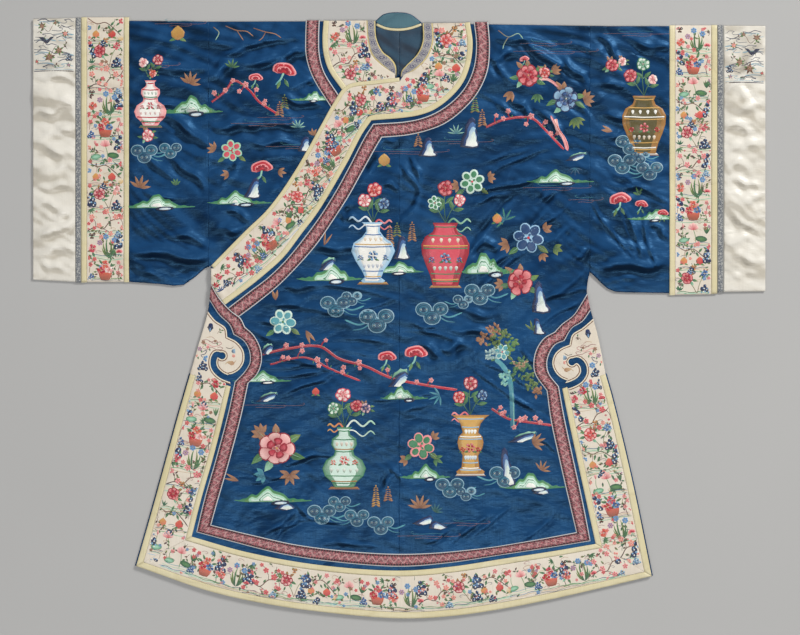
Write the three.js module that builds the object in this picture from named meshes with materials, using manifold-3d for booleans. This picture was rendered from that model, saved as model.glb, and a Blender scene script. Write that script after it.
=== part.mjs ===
// A woman's embroidered silk coat with a round neck and a side closing, laid flat on its back.
// Millimetres, +Z up. The floor is z = 0, X runs along the sleeves and +Y points to the neck.
// Left and right are the wearer's, so the left sleeve lies at +X.

import * as THREE from 'three';
import * as BufferGeometryUtils from 'three/addons/utils/BufferGeometryUtils.js';
import Module from 'manifold-3d';

const wasm = await Module();
wasm.setup();

// Driving sizes
const wall = 1.5; // silk with its lining
const facingWall = 1.0; // embroidered satin facings
const bindingWall = 1.3; // folded satin bindings
const ribbonWall = 0.8; // woven ribbons
const seamGap = 0.3;
const foldWidth = 1.5; // cloth turned over at a folded edge
const gridPitch = 29; // spacing of the points that carry the folds
const foldLimit = 3.4; // the front never stands further than this off its lowest level
const sleeveSeamX = 342.6;
const bindingShare = 0.13; // the outer binding's share of the border's width
const innerBindingShare = 0.885;
const edgeBindingWidth = 7;
const collarBindingWidth = 9.5;
const hookWidth = 10.5;
const backPeek = 2.5; // the back edge that shows beside the slits
const frontLevel = wall + seamGap;
const overlapRise = wall + seamGap;
const [below, above] = [-10, 40]; // past the lowest and highest of the coat

const table = (columns, rows) => rows.map((row) => (
  Object.fromEntries(columns.map((column, i) => [column, row[i]]))
));
const points = (...rows) => table(['x', 'y'], rows).map(({ x, y }) => new THREE.Vector2(x, y));

// Lines of the front, from the neck or the underarm downwards
const rightNeck = points([-43, 529], [-41, 498], [-29, 473], [-15, 462], [-6, 448], [-5.5, 428]);
const leftNeck = points([42, 525], [42, 492], [33, 470], [12, 448], [4, 438], [3, 427.5]);
const rightNeckOuter = points([-59, 530], [-57, 498], [-50, 469], [-36, 453], [-20, 441], [-8, 434]);
const leftNeckOuter = points([60, 525], [61, 492], [51, 464], [28, 441], [8, 432]);
const backNeck = points([-43, 529], [-29, 541], [-9, 545], [19, 542], [35, 531], [42, 525]);
const backNeckSeam = points([-41, 523], [-24, 516], [-2, 513.5], [19, 516], [40, 523]);

const closingEdge = [
  ...smooth(points([0, 427], [-41, 422], [-87, 416], [-101, 407], [-121, 377])),
  ...smooth(points([-121, 377], [-190, 255], [-236, 191], [-278, 150], [-338, 89])),
];
const collarFacingEdge = [
  ...smooth(points([127, 527], [132, 488], [127, 449], [114, 417], [92, 391], [64, 370], [38, 360], [9, 355],
    [-50, 350])),
  ...smooth(points([-50, 350], [-67, 325], [-93, 275], [-145, 187], [-175, 147], [-208, 104], [-241, 74],
    [-272, 49], [-314, 18])),
];
const collarRibbonInner = [
  ...smooth(points([134, 527], [138, 487], [134, 447], [120, 413], [97, 386], [67, 365], [40, 354],
    [10, 348], [-47, 344])),
  ...smooth(points([-47, 344], [-62, 321], [-88, 271], [-112, 227], [-140, 182], [-169, 142], [-204, 99],
    [-236, 68], [-269, 43], [-308, 13])),
];
const collarRibbonOuter = [
  ...smooth(points([160, 527], [163, 485], [159, 439], [141, 399], [114, 368], [82, 344], [49, 331],
    [14, 323], [-31, 319])),
  ...smooth(points([-31, 319], [-39, 306], [-66, 258], [-91, 213], [-120, 168], [-149, 126], [-186, 84],
    [-219, 51], [-252, 24], [-292, -6])),
];
const rightCollarFacingEdge = smooth(points([-136, 530], [-138, 498], [-136, 470], [-127, 441], [-99, 400]));
const rightCollarRibbonInner = smooth(points([-143, 530], [-144, 498], [-143, 469], [-135, 438],
  [-105, 390]));
const rightCollarRibbonOuter = smooth(points([-168, 530], [-169, 497], [-168, 466], [-157, 430],
  [-118, 366]));

// Each side has its outer edge, the scrolled head of its facing, and the two edges of its ribbon.
const sides = {
  right: {
    sideEdge: points([-338, 89], [-339, 45], [-344, 7], [-363, -60], [-376, -106]),
    slitEdge: points([-376, -106], [-397, -179], [-441, -339], [-473, -451]),
    facingHead: [
      ...smooth(points([-344, 7], [-331, -9], [-312, -23], [-309, -39])),
      ...smooth(points([-309, -39], [-292, -48], [-280, -64], [-279, -83], [-289, -102], [-302, -108])),
    ],
    facingEdge: points([-303, -128], [-313, -171], [-334, -254], [-355, -327], [-373, -398]),
    ribbonFacingSide: [
      ...smooth(points([-341, 27], [-324, 1], [-305, -18], [-298, -35])),
      ...smooth(points([-298, -35], [-280, -46], [-270, -64], [-269, -85], [-278, -101], [-296, -120])),
      ...smooth(points([-296, -120], [-307, -172], [-329, -255], [-350, -328], [-365, -390])),
    ],
    ribbonBodySide: [
      ...smooth(points([-338, 56], [-324, 32], [-301, 7], [-285, -5], [-277, -21])),
      ...smooth(points([-277, -21], [-262, -35], [-249, -60], [-247, -83], [-255, -106], [-271, -122])),
      ...smooth(points([-271, -122], [-283, -178], [-305, -262], [-326, -334], [-338, -377])),
    ],
    hook: points([-318, -73], [-329, -71], [-334, -82], [-332, -95], [-321, -107], [-306, -114],
      [-290, -119]),
  },
  left: {
    sideEdge: points([342.6, 78], [338, 52], [338, 36], [345, 7], [357, -37], [371, -106]),
    slitEdge: points([371, -106], [384, -152], [419, -298], [454, -469]),
    facingHead: [
      ...smooth(points([349, -6], [329, -23], [311, -35], [306, -53])),
      ...smooth(points([306, -53], [290, -60], [279, -71], [275, -87], [281, -106], [295, -117])),
    ],
    facingEdge: points([293, -132], [303, -182], [319, -256], [337, -338], [353, -411]),
    ribbonFacingSide: [
      ...smooth(points([344, 8], [329, -12], [311, -23], [297, -46])),
      ...smooth(points([297, -46], [281, -53], [271, -67], [266, -85], [269, -104], [287, -128])),
      ...smooth(points([287, -128], [297, -183], [313, -257], [331, -339], [344, -406])),
    ],
    ribbonBodySide: [
      ...smooth(points([338, 39], [327, 21], [313, 0], [292, -16], [279, -30])),
      ...smooth(points([279, -30], [260, -41], [246, -62], [241, -85], [244, -106], [265, -136])),
      ...smooth(points([265, -136], [272, -188], [288, -262], [307, -344], [318, -390])),
    ],
    hook: points([310, -84], [320, -81], [329, -88], [332, -102], [325, -115], [310, -124], [286, -131]),
  },
};
for (const side of Object.values(sides)) {
  side.sideEdge = smooth(side.sideEdge);
  side.slitEdge = smooth(side.slitEdge);
  side.facingEdge = smooth(side.facingEdge);
}

const hem = smooth(points([-473, -451], [-342, -496], [-250, -517], [-143, -533], [0, -545],
  [93, -541], [185, -528], [277, -510], [369, -489], [454, -469]));
const hemFacingEdge = smooth(points([-373, -398], [-273, -426], [-143, -449], [0, -459],
  [93, -452], [185, -438], [277, -424], [353, -411]));
const hemRibbonOuter = smooth(points([-365, -390], [-305, -406], [-213, -429], [-122, -443], [0, -452],
  [93, -445], [185, -431], [277, -417], [344, -406]));
const hemRibbonInner = smooth(points([-338, -377], [-260, -396], [-168, -415], [0, -429],
  [139, -420], [231, -406], [318, -390]));

// Edges of the flattened sleeves, as top and bottom at each place along the sleeve
const sleeves = {
  right: {
    toward: -1,
    silk: table(['x', 'top', 'bottom'], [
      [342.9, 528, 87],
      [350, 528, 84],
      [367, 528.5, 69],
      [387, 529, 55],
      [405, 529, 53],
      [430, 529, 56],
      [485.7, 529.5, 60],
    ]),
    bands: table(['name', 'from', 'to', 'top', 'topEnd', 'bottom', 'bottomEnd', 'extra', 'material'], [
      ['binding_inner', 486, 495, 536, 536, 59.5, 59.5, 0.5, 'binding'],
      ['band', 495.3, 561.7, 536, 536, 60, 59.5, 0.2, 'embroidered'],
      ['binding_outer', 562, 571.7, 536, 536, 59, 58.5, 0.5, 'binding'],
      ['ribbon', 572, 582, 535, 535, 58.5, 59, 0.3, 'blueRibbon'],
      ['cuff', 582.3, 658.5, 534.5, 533, 60, 64, 0, 'ivory'],
    ]),
  },
  left: {
    toward: 1,
    silk: table(['x', 'top', 'bottom'], [
      [342.9, 520.5, 78],
      [350, 520.5, 71],
      [364, 520.3, 57],
      [375, 520, 48],
      [389, 520, 42],
      [410, 520, 41],
      [485.7, 520, 40],
    ]),
    bands: table(['name', 'from', 'to', 'top', 'topEnd', 'bottom', 'bottomEnd', 'extra', 'material'], [
      ['binding_inner', 486, 495.7, 521.5, 521.5, 36, 36, 0.5, 'binding'],
      ['band', 496, 561, 521.5, 521.5, 36.5, 37.5, 0.2, 'embroidered'],
      ['binding_outer', 561.3, 571.7, 522, 522, 38, 39, 0.5, 'binding'],
      ['ribbon', 572, 583.7, 521.5, 521.5, 40.5, 41, 0.3, 'blueRibbon'],
      ['cuff', 584, 658.5, 521, 520.5, 42, 43, 0, 'ivory'],
    ]),
  },
};

// The largest creases: middle, direction in degrees, length, width and height
const creases = table(['x', 'y', 'turn', 'length', 'width', 'height'], [
  [-415, 105, 2, 190, 62, 3.0],
  [-420, 190, -38, 170, 58, 2.2],
  [-300, 430, 24, 190, 62, 2.6],
  [-235, 395, 14, 150, 58, 2.0],
  [-420, 430, -30, 170, 62, 2.2],
  [-330, 300, 30, 170, 66, 2.0],
  [-250, 300, -20, 120, 60, 1.6],
  [-625, 395, -6, 90, 58, 2.2],
  [-620, 150, 24, 100, 60, 2.4],
  [250, 470, -34, 170, 60, 2.8],
  [200, 420, -12, 140, 60, 2.0],
  [390, 430, -46, 180, 62, 2.2],
  [415, 110, -8, 180, 60, 3.2],
  [395, 190, -52, 200, 58, 2.4],
  [450, 250, -62, 200, 62, 2.0],
  [280, 200, 42, 240, 66, 2.8],
  [210, 240, 30, 220, 62, 2.0],
  [270, 95, 56, 170, 60, 2.6],
  [190, 110, 20, 190, 60, 2.0],
  [40, 180, 34, 180, 66, 1.8],
  [-60, 60, 8, 240, 62, 2.2],
  [-20, -10, -6, 300, 62, 2.4],
  [120, -60, 16, 240, 62, 2.0],
  [-160, -60, -14, 180, 60, 1.8],
  [60, -160, 12, 260, 70, 1.8],
  [-120, -230, 24, 200, 66, 1.6],
  [190, -350, 30, 190, 64, 2.0],
  [-190, -350, 34, 150, 60, 1.6],
  [620, 380, -40, 110, 60, 2.2],
  [622, 190, -30, 120, 60, 2.4],
  [-420, -300, 74, 150, 60, 1.2],
  [120, -500, 4, 220, 60, 1.0],
]);

function smooth(controls, step = 11, tolerance = 0.45) {
  const curve = new THREE.CatmullRomCurve3(
    controls.map(({ x, y }) => new THREE.Vector3(x, y, 0)), false, 'centripetal');
  const count = Math.max(2, Math.ceil(curve.getLength() / step));
  const dense = curve.getSpacedPoints(count).map(({ x, y }) => new THREE.Vector2(x, y));
  return thinned(dense, tolerance);
}

// Leaves out the points that lie on a straight run
function thinned(line, tolerance) {
  if (line.length < 3) return line;
  const [start, end] = [line[0], line[line.length - 1]];
  let furthest = 0;
  let at = 0;
  line.forEach((point, i) => {
    const away = distanceToSegment(point, start, end);
    if (away > furthest) [furthest, at] = [away, i];
  });
  if (furthest < tolerance) return [start, end];
  return [
    ...thinned(line.slice(0, at + 1), tolerance).slice(0, -1),
    ...thinned(line.slice(at), tolerance),
  ];
}

function distanceToSegment(point, start, end) {
  const along = end.clone().sub(start);
  const share = point.clone().sub(start).dot(along) / Math.max(along.lengthSq(), 1e-9);
  return point.distanceTo(start.clone().addScaledVector(along, THREE.MathUtils.clamp(share, 0, 1)));
}

// A line moved sideways, to its left for a positive distance
function shifted(line, distance) {
  const clean = line.filter((point, i) => i === 0 || point.distanceTo(line[i - 1]) > 0.01);
  const normals = clean.slice(1).map((point, i) => {
    const along = point.clone().sub(clean[i]).normalize();
    return new THREE.Vector2(-along.y, along.x);
  });
  return clean.map((point, i) => {
    const before = normals[Math.max(i - 1, 0)];
    const after = normals[Math.min(i, normals.length - 1)];
    const mean = before.clone().add(after).normalize();
    return point.clone().addScaledVector(mean, distance / Math.max(mean.dot(after), 0.5));
  });
}

// The line at a share of the way from one line to another
function between(first, second, share, count = 26) {
  const at = (line) => new THREE.CatmullRomCurve3(
    line.map(({ x, y }) => new THREE.Vector3(x, y, 0)), false, 'centripetal').getSpacedPoints(count);
  const [a, b] = [at(first), at(second)];
  const middle = a.map((point, i) => point.clone().lerp(b[i], share));
  return thinned(middle.map(({ x, y }) => new THREE.Vector2(x, y)), 0.4);
}

// The outline between two lines that run the same way, with half the seam gap taken off each
function strip(first, second, gap = seamGap / 2) {
  const turn = Math.sign(second[0].clone().sub(first[0]).cross(first[1].clone().sub(first[0]))) || 1;
  return [...shifted(first, -turn * gap), ...shifted(second, turn * gap).reverse()];
}

// How far a place is from the underlap, which lies below the closing edge
function distanceBelowClosing(x, y) {
  const place = new THREE.Vector2(x, y);
  return Math.min(...closingEdge.slice(1).map((end, i) => distanceToSegment(place, closingEdge[i], end)));
}

const underlapWidth = 42;
const riseFlat = underlapWidth + 44; // the rise is whole over every grid square that the underlap meets
const riseEnd = riseFlat + 90;

// Height of the underside of the front, and of what closes over the underlap
function under(x, y) {
  const sum = creases.reduce((total, crease) => {
    const turn = THREE.MathUtils.degToRad(crease.turn);
    const [dx, dy] = [x - crease.x, y - crease.y];
    const along = (dx * Math.cos(turn) + dy * Math.sin(turn)) / (crease.length / 2);
    const across = (dy * Math.cos(turn) - dx * Math.sin(turn)) / (crease.width / 2);
    if (Math.abs(along) >= 1 || Math.abs(across) >= 1) return total;
    return total + crease.height * Math.cos(across * Math.PI / 2) ** 2 * (1 - along ** 2);
  }, 0);
  return frontLevel + foldLimit * Math.tanh(sum / foldLimit);
}

function over(x, y) {
  const share = THREE.MathUtils.smoothstep(distanceBelowClosing(x, y), riseFlat, riseEnd);
  return under(x, y) + overlapRise * (1 - share);
}

// A solid under a surface carried by a square grid of points, which every piece shares
function layer(outline, bottomAt, topAt) {
  const flatBottom = typeof bottomAt === 'number';
  const lowerAt = flatBottom ? () => below : bottomAt;
  const box = new THREE.Box2().setFromPoints(outline);
  const [x0, y0] = [box.min.x, box.min.y].map((value) => Math.floor(value / gridPitch) - 1);
  const [x1, y1] = [box.max.x, box.max.y].map((value) => Math.ceil(value / gridPitch) + 1);
  const [columns, rows] = [x1 - x0 + 1, y1 - y0 + 1];
  const position = [];
  for (const heightAt of [lowerAt, topAt]) {
    for (let j = 0; j < rows; j++) {
      for (let i = 0; i < columns; i++) {
        const [x, y] = [(x0 + i) * gridPitch, (y0 + j) * gridPitch];
        position.push(x, y, heightAt(x, y));
      }
    }
  }
  const index = [];
  const topStart = columns * rows;
  const id = (i, j) => j * columns + i;
  const quad = (a, b, c, d) => index.push(a, b, c, a, c, d);
  const side = (a, b) => quad(a, b, b + topStart, a + topStart);
  for (let j = 0; j < rows - 1; j++) {
    for (let i = 0; i < columns - 1; i++) {
      const [a, b, c, d] = [id(i, j), id(i + 1, j), id(i + 1, j + 1), id(i, j + 1)];
      const odd = (x0 + i + y0 + j) % 2 !== 0;
      const [p, q, r, s] = odd ? [a, b, c, d] : [b, c, d, a];
      quad(p + topStart, q + topStart, r + topStart, s + topStart);
      index.push(r, q, p, s, r, p);
    }
  }
  for (let i = 0; i < columns - 1; i++) {
    side(id(i, 0), id(i + 1, 0));
    side(id(i + 1, rows - 1), id(i, rows - 1));
  }
  for (let j = 0; j < rows - 1; j++) {
    side(id(0, j + 1), id(0, j));
    side(id(columns - 1, j), id(columns - 1, j + 1));
  }
  return new wasm.Manifold(new wasm.Mesh({
    numProp: 3, vertProperties: new Float32Array(position), triVerts: new Uint32Array(index),
  })).intersect(flatBottom ? prism(outline, bottomAt) : prism(outline));
}

// An outline drawn straight up from one level to another
function prism(outline, from = below, to = above) {
  const shape = new THREE.Shape(outline);
  const geometry = new THREE.ExtrudeGeometry(shape, { depth: to - from, bevelEnabled: false });
  geometry.translate(0, 0, from);
  geometry.deleteAttribute('normal');
  geometry.deleteAttribute('uv');
  const merged = BufferGeometryUtils.mergeVertices(geometry);
  return new wasm.Manifold(new wasm.Mesh({
    numProp: 3,
    vertProperties: new Float32Array(merged.attributes.position.array),
    triVerts: new Uint32Array(merged.index.array),
  }));
}

const raised = (surface, by) => (x, y) => surface(x, y) + by;

const silkBlue = { color: 0x1f4778, roughness: 0.42 };
const materials = {
  silk: new THREE.MeshStandardMaterial({ ...silkBlue, side: THREE.DoubleSide }),
  embroidered: new THREE.MeshStandardMaterial({ color: 0xd9cbb2, roughness: 0.6 }),
  binding: new THREE.MeshStandardMaterial({ color: 0xe0cf94, roughness: 0.5 }),
  redRibbon: new THREE.MeshStandardMaterial({ color: 0x8c4450, roughness: 0.7 }),
  blueRibbon: new THREE.MeshStandardMaterial({ color: 0x7c829a, roughness: 0.7 }),
  ivory: new THREE.MeshStandardMaterial({ color: 0xe2dac6, roughness: 0.4 }),
  lining: new THREE.MeshStandardMaterial({ color: 0x2c5563, roughness: 0.7 }),
};

const coat = new THREE.Group();

function add(name, solid, material) {
  const { vertProperties, numProp, triVerts } = largestBody(solid).getMesh();
  const position = [];
  for (let i = 0; i < vertProperties.length; i += numProp) {
    position.push(vertProperties[i], vertProperties[i + 1], vertProperties[i + 2]);
  }
  const geometry = new THREE.BufferGeometry();
  geometry.setAttribute('position', new THREE.Float32BufferAttribute(position, 3));
  geometry.setIndex([...triVerts]);
  geometry.computeVertexNormals();
  const mesh = new THREE.Mesh(geometry, materials[material]);
  mesh.name = name;
  coat.add(mesh);
}

// Cutting can leave a crumb at a sharp corner, which is dropped
function largestBody(solid) {
  return solid.decompose().reduce((best, body) => (body.volume() > best.volume() ? body : best));
}

// A flattened tube: a closed outline with the hollow between its two layers taken out
function flattenedTube(outline, hollow, surface, thickness) {
  const whole = layer(outline, 0, raised(surface, thickness));
  return whole.subtract(layer(hollow, wall, surface));
}

function addSilkSleeve(name, { toward, silk }) {
  const reach = 5; // the hollow runs out past both ends
  const row = ({ x, top, bottom }, inset, beyond = 0) => [
    new THREE.Vector2(toward * (x + beyond), top - inset),
    new THREE.Vector2(toward * (x + beyond), bottom + inset),
  ];
  const outlineWith = (inset, beyond) => {
    const last = silk.length - 1;
    const rows = silk.map((section, i) => (
      row(section, inset, beyond * (i === 0 ? -1 : Number(i === last)))));
    const outline = [...rows.map(([top]) => top), ...rows.map(([, bottom]) => bottom).reverse()];
    return toward > 0 ? outline.reverse() : outline;
  };
  add(name, flattenedTube(outlineWith(0, 0), outlineWith(foldWidth, reach), under, wall), 'silk');
}

function addSleeveBand(side, { toward }, band) {
  const reach = 5;
  const outlineWith = (inset, beyond) => {
    const near = toward * (band.from - beyond);
    const far = toward * (band.to + beyond);
    const outline = points([near, band.top - inset], [far, band.topEnd - inset],
      [far, band.bottomEnd + inset], [near, band.bottom + inset]);
    return toward > 0 ? outline.reverse() : outline;
  };
  const solid = flattenedTube(outlineWith(0, 0), outlineWith(foldWidth, reach), under, wall + band.extra);
  add(`sleeve_${band.name}_${side}`, solid, band.material);
}

// The half coats: front and back are one length of silk, folded over the shoulder
const splitHem = (line, toward) => line.filter(({ x }) => x * toward > 20);
const centreHem = (toward) => new THREE.Vector2(toward * seamGap / 2, -545);
const shoulderStart = { left: new THREE.Vector2(42, 525), right: new THREE.Vector2(-43, 529) };
const shoulderEnd = {
  left: new THREE.Vector2(sleeveSeamX, 520.5),
  right: new THREE.Vector2(-sleeveSeamX, 528),
};

function backOutline(side, toward) {
  const { sideEdge, slitEdge } = sides[side];
  const halfNeck = smooth(backNeck).filter(({ x }) => x * toward > 2);
  const neck = toward > 0 ? halfNeck : halfNeck.reverse();
  const centreTop = new THREE.Vector2(toward * seamGap / 2, 545);
  const shownEdge = shifted(slitEdge, toward * backPeek);
  const hemHalf = splitHem(hem, toward);
  const hemInward = toward > 0 ? hemHalf.reverse() : hemHalf;
  return [centreTop, ...neck, shoulderEnd[side], ...sideEdge.slice(0, -1), ...shownEdge,
    ...hemInward.slice(1), centreHem(toward)];
}

function shoulderFold(side, surface) {
  const [start, end] = [shoulderStart[side], shoulderEnd[side]];
  const lower = [end, start].map(({ x, y }) => new THREE.Vector2(x, y - foldWidth));
  return layer([start, end, ...lower], 0, raised(surface, wall));
}

function addLeftHalf() {
  const { sideEdge, slitEdge } = sides.left;
  const hemInward = splitHem(hem, 1).reverse();
  const front = [...smooth(leftNeck).reverse(), shoulderEnd.left, ...sideEdge, ...slitEdge.slice(1),
    ...hemInward.slice(1), centreHem(1), new THREE.Vector2(seamGap / 2, 427.5)];
  const sideSeam = [...sideEdge, ...shifted(sideEdge, -foldWidth).reverse()];
  const solid = layer(front, over, raised(over, wall))
    .add(prism(backOutline('left', 1), 0, wall))
    .add(shoulderFold('left', over))
    .add(layer(sideSeam, 0, raised(over, wall)));
  add('coat_half_left', solid, 'silk');
}

function addRightHalf() {
  const underlapEdge = shifted(closingEdge, underlapWidth);
  const shown = underlapEdge.filter(({ x }) => x < -3 && x > -318);
  const front = [...smooth(rightNeck), new THREE.Vector2(-4, 400), ...shown, new THREE.Vector2(-337, 84),
    new THREE.Vector2(-338, 89), new THREE.Vector2(-sleeveSeamX, 87), shoulderEnd.right];
  const solid = layer(front, under, raised(under, wall))
    .add(prism(backOutline('right', -1), 0, wall))
    .add(shoulderFold('right', under));
  add('coat_half_right', solid, 'silk');
}

const overlapOutline = [
  new THREE.Vector2(-seamGap / 2, 427), ...closingEdge.slice(1), ...sides.right.sideEdge.slice(1),
  ...sides.right.slitEdge.slice(1), ...splitHem(hem, -1).slice(1), centreHem(-1),
];

// Ribbons, facings and bindings lie on the front, made from its own points moved out
const onFront = (outline, surface, thickness) => (
  layer(outline, raised(surface, wall + seamGap), raised(surface, wall + seamGap + thickness)));

const borderLines = {
  hem: { edge: hem, facing: hemFacingEdge },
  slit_right: { edge: sides.right.slitEdge, facing: sides.right.facingEdge },
  slit_left: { edge: sides.left.slitEdge, facing: sides.left.facingEdge },
};

function addBorders() {
  const mitre = 0.2; // taken off each end, so that the corner seams stay open
  for (const [name, { edge, facing }] of Object.entries(borderLines)) {
    const outer = strip(edge, between(edge, facing, bindingShare), mitre);
    const inner = strip(between(edge, facing, innerBindingShare), facing, mitre);
    add(`binding_outer_${name}`, onFront(outer, over, bindingWall).subtract(cornerCuts), 'binding');
    add(`binding_inner_${name}`, onFront(inner, over, bindingWall).subtract(cornerCuts), 'binding');
  }
  const facing = onFront(strip(between(hem, hemFacingEdge, bindingShare),
    between(hem, hemFacingEdge, innerBindingShare)), over, facingWall);
  add('facing_hem', facing.subtract(cornerCuts), 'embroidered');
  const ribbon = onFront(strip(hemRibbonOuter, hemRibbonInner), over, ribbonWall);
  add('ribbon_hem', ribbon.subtract(cornerCuts), 'redRibbon');
}

// A thin cut along each lower corner's mitre keeps the border's pieces apart
function mitreCut(corner, inside) {
  const along = inside.clone().sub(corner).normalize().multiplyScalar(15);
  const line = [corner.clone().sub(along), inside.clone().add(along)];
  return prism([...shifted(line, -seamGap / 2), ...shifted(line, seamGap / 2).reverse()]);
}
const cornerCuts = mitreCut(new THREE.Vector2(-473, -451), new THREE.Vector2(-338, -377))
  .add(mitreCut(new THREE.Vector2(454, -469), new THREE.Vector2(318, -390)));

function addSlitSide(side, toward) {
  const { sideEdge, slitEdge, facingHead, facingEdge, ribbonFacingSide, ribbonBodySide, hook } = sides[side];
  const slitTop = new THREE.Vector2(0, 2 * seamGap);
  const edgeTop = sideEdge.filter(({ y }) => y < facingHead[0].y - 4);
  edgeTop.push(edgeTop.pop().clone().add(slitTop));
  const outer = shifted(between(slitEdge, facingEdge, bindingShare), toward * -seamGap / 2);
  const inner = shifted(between(slitEdge, facingEdge, innerBindingShare), toward * seamGap / 2);
  outer[0].add(slitTop);
  const outline = [...facingHead, facingEdge[0].clone().add(new THREE.Vector2(0, 4)),
    inner[0].clone().add(new THREE.Vector2(0, 4)), ...inner, ...outer.slice().reverse(),
    ...shifted(edgeTop, 0).reverse()];
  const hookLine = smooth(hook, 5, 0.2);
  const channel = prism(strip(shifted(hookLine, hookWidth / 2), shifted(hookLine, -hookWidth / 2), 0));
  const facing = onFront(toward < 0 ? outline.slice().reverse() : outline, over, facingWall)
    .subtract(channel).subtract(cornerCuts);
  add(`facing_slit_${side}`, facing, 'embroidered');
  const ribbon = onFront(strip(ribbonBodySide, ribbonFacingSide), over, ribbonWall).subtract(cornerCuts);
  add(`ribbon_slit_${side}`, ribbon, 'redRibbon');
}

function addCollar() {
  const slitRibbon = shifted(sides.right.ribbonBodySide, seamGap).filter(({ y }) => y > -60);
  const ribbonCut = prism([...slitRibbon, ...points([-420, -40], [-420, 60])]);
  const cut = (outline, surface, thickness) => onFront(outline, surface, thickness).subtract(ribbonCut);
  const edgeBindingInner = shifted(closingEdge, edgeBindingWidth);
  const facingInner = shifted(collarFacingEdge, -collarBindingWidth);
  const sideEnd = points([-338, 84], [-338.5, 50], [-331, 40]);

  add('binding_closing', cut(strip(closingEdge, edgeBindingInner), over, bindingWall), 'binding');
  const facing = [...smooth(leftNeckOuter), ...shifted(edgeBindingInner, seamGap / 2), ...sideEnd,
    ...shifted(facingInner, -seamGap / 2).reverse()];
  add('facing_collar_left', cut(facing, over, facingWall), 'embroidered');
  add('binding_collar_left', cut(strip(facingInner, collarFacingEdge), over, bindingWall), 'binding');
  add('ribbon_collar_left', cut(strip(collarRibbonInner, collarRibbonOuter), over, ribbonWall), 'redRibbon');
  const neckRibbon = strip(smooth(leftNeck), smooth(leftNeckOuter));
  add('neck_ribbon_left', onFront(neckRibbon, over, ribbonWall), 'blueRibbon');

  // The right collar runs under the closing edge and stops just short of it
  const closingCut = prism([...shifted(closingEdge, -seamGap), ...shifted(closingEdge, 90).reverse()]);
  const tucked = (outline, thickness) => onFront(outline, under, thickness).subtract(closingCut);
  const rightFacing = [...smooth(rightNeckOuter), ...points([-7, 424], [-60, 405], [-88, 392]),
    ...shifted(rightCollarFacingEdge, collarBindingWidth + seamGap / 2).reverse()];
  add('facing_collar_right', tucked(rightFacing.reverse(), facingWall), 'embroidered');
  const rightBinding = strip(shifted(rightCollarFacingEdge, collarBindingWidth), rightCollarFacingEdge);
  add('binding_collar_right', tucked(rightBinding, bindingWall), 'binding');
  const rightRibbon = strip(rightCollarRibbonInner, rightCollarRibbonOuter);
  add('ribbon_collar_right', tucked(rightRibbon, ribbonWall), 'redRibbon');
  const rightNeckRibbon = strip(smooth(rightNeck), smooth(rightNeckOuter));
  add('neck_ribbon_right', tucked(rightNeckRibbon, ribbonWall), 'blueRibbon');
}

// Inside the neck the back's lining shows, with a centre seam and a bound upper edge
function addNeckLining() {
  const liningWall = 1;
  const level = wall + seamGap;
  const clear = 0.5;
  const onBack = (outline) => prism(outline, level, level + liningWall);
  const seam = smooth(backNeckSeam);
  const seamWidth = 4.5;
  const seamHalf = (toward) => shifted(seam, -seamWidth / 2 - seamGap).filter(({ x }) => x * toward > 1);
  const rightInside = shifted(smooth(rightNeck), clear).filter(({ y }) => y < 520 && y > 430);
  const leftInside = shifted(smooth(leftNeck), -clear).filter(({ y }) => y < 520 && y > 430);
  const centre = (toward) => points([toward * seamGap / 2, 511], [toward * seamGap / 2, 434]);
  const leftSeam = seamHalf(1).filter(({ x }) => x < 38);
  const rightSeam = seamHalf(-1).filter(({ x }) => x > -38);
  const leftLining = [...leftSeam, ...leftInside, ...centre(1).reverse()];
  const rightLining = [...rightSeam.reverse(), ...rightInside, ...centre(-1).reverse()];
  add('neck_lining_left', onBack(leftLining), 'lining');
  add('neck_lining_right', onBack(rightLining), 'lining');
  const boundSeam = strip(shifted(seam, seamWidth / 2), shifted(seam, -seamWidth / 2), 0);
  add('neck_binding_back', onBack(boundSeam), 'binding');
  const topEdge = shifted(smooth(backNeck, 5, 0.05), -1.2).filter(({ y }) => y > 527);
  const bottomEdge = shifted(seam, seamWidth / 2 + seamGap).filter(({ x }) => Math.abs(x) < 38);
  add('neck_lining_back', onBack([...topEdge, ...bottomEdge.reverse()]), 'lining');
}

addLeftHalf();
addRightHalf();
add('overlap_front', layer(overlapOutline, over, raised(over, wall)), 'silk');
for (const [side, sleeve] of Object.entries(sleeves)) {
  addSilkSleeve(`sleeve_${side}`, sleeve);
  for (const band of sleeve.bands) addSleeveBand(side, sleeve, band);
}
addCollar();
addNeckLining();
addBorders();
addSlitSide('right', -1);
addSlitSide('left', 1);

export default coat;
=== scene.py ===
import math
import random
import bpy
import numpy as np
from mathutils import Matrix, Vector, kdtree
from mathutils.geometry import delaunay_2d_cdt


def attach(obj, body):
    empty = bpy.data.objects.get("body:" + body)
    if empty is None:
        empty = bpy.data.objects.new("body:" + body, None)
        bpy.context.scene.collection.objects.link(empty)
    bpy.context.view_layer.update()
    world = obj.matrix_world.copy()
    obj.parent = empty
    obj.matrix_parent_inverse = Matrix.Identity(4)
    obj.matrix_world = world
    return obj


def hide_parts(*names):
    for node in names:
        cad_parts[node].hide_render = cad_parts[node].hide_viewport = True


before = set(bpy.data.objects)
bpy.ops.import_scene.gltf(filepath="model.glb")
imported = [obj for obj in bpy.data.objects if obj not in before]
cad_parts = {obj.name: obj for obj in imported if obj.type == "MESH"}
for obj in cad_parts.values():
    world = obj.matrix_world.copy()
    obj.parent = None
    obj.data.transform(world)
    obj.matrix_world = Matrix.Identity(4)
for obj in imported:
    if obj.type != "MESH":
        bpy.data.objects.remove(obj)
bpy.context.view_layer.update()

for item in bpy.context.selected_objects:
    item.select_set(False)

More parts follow.
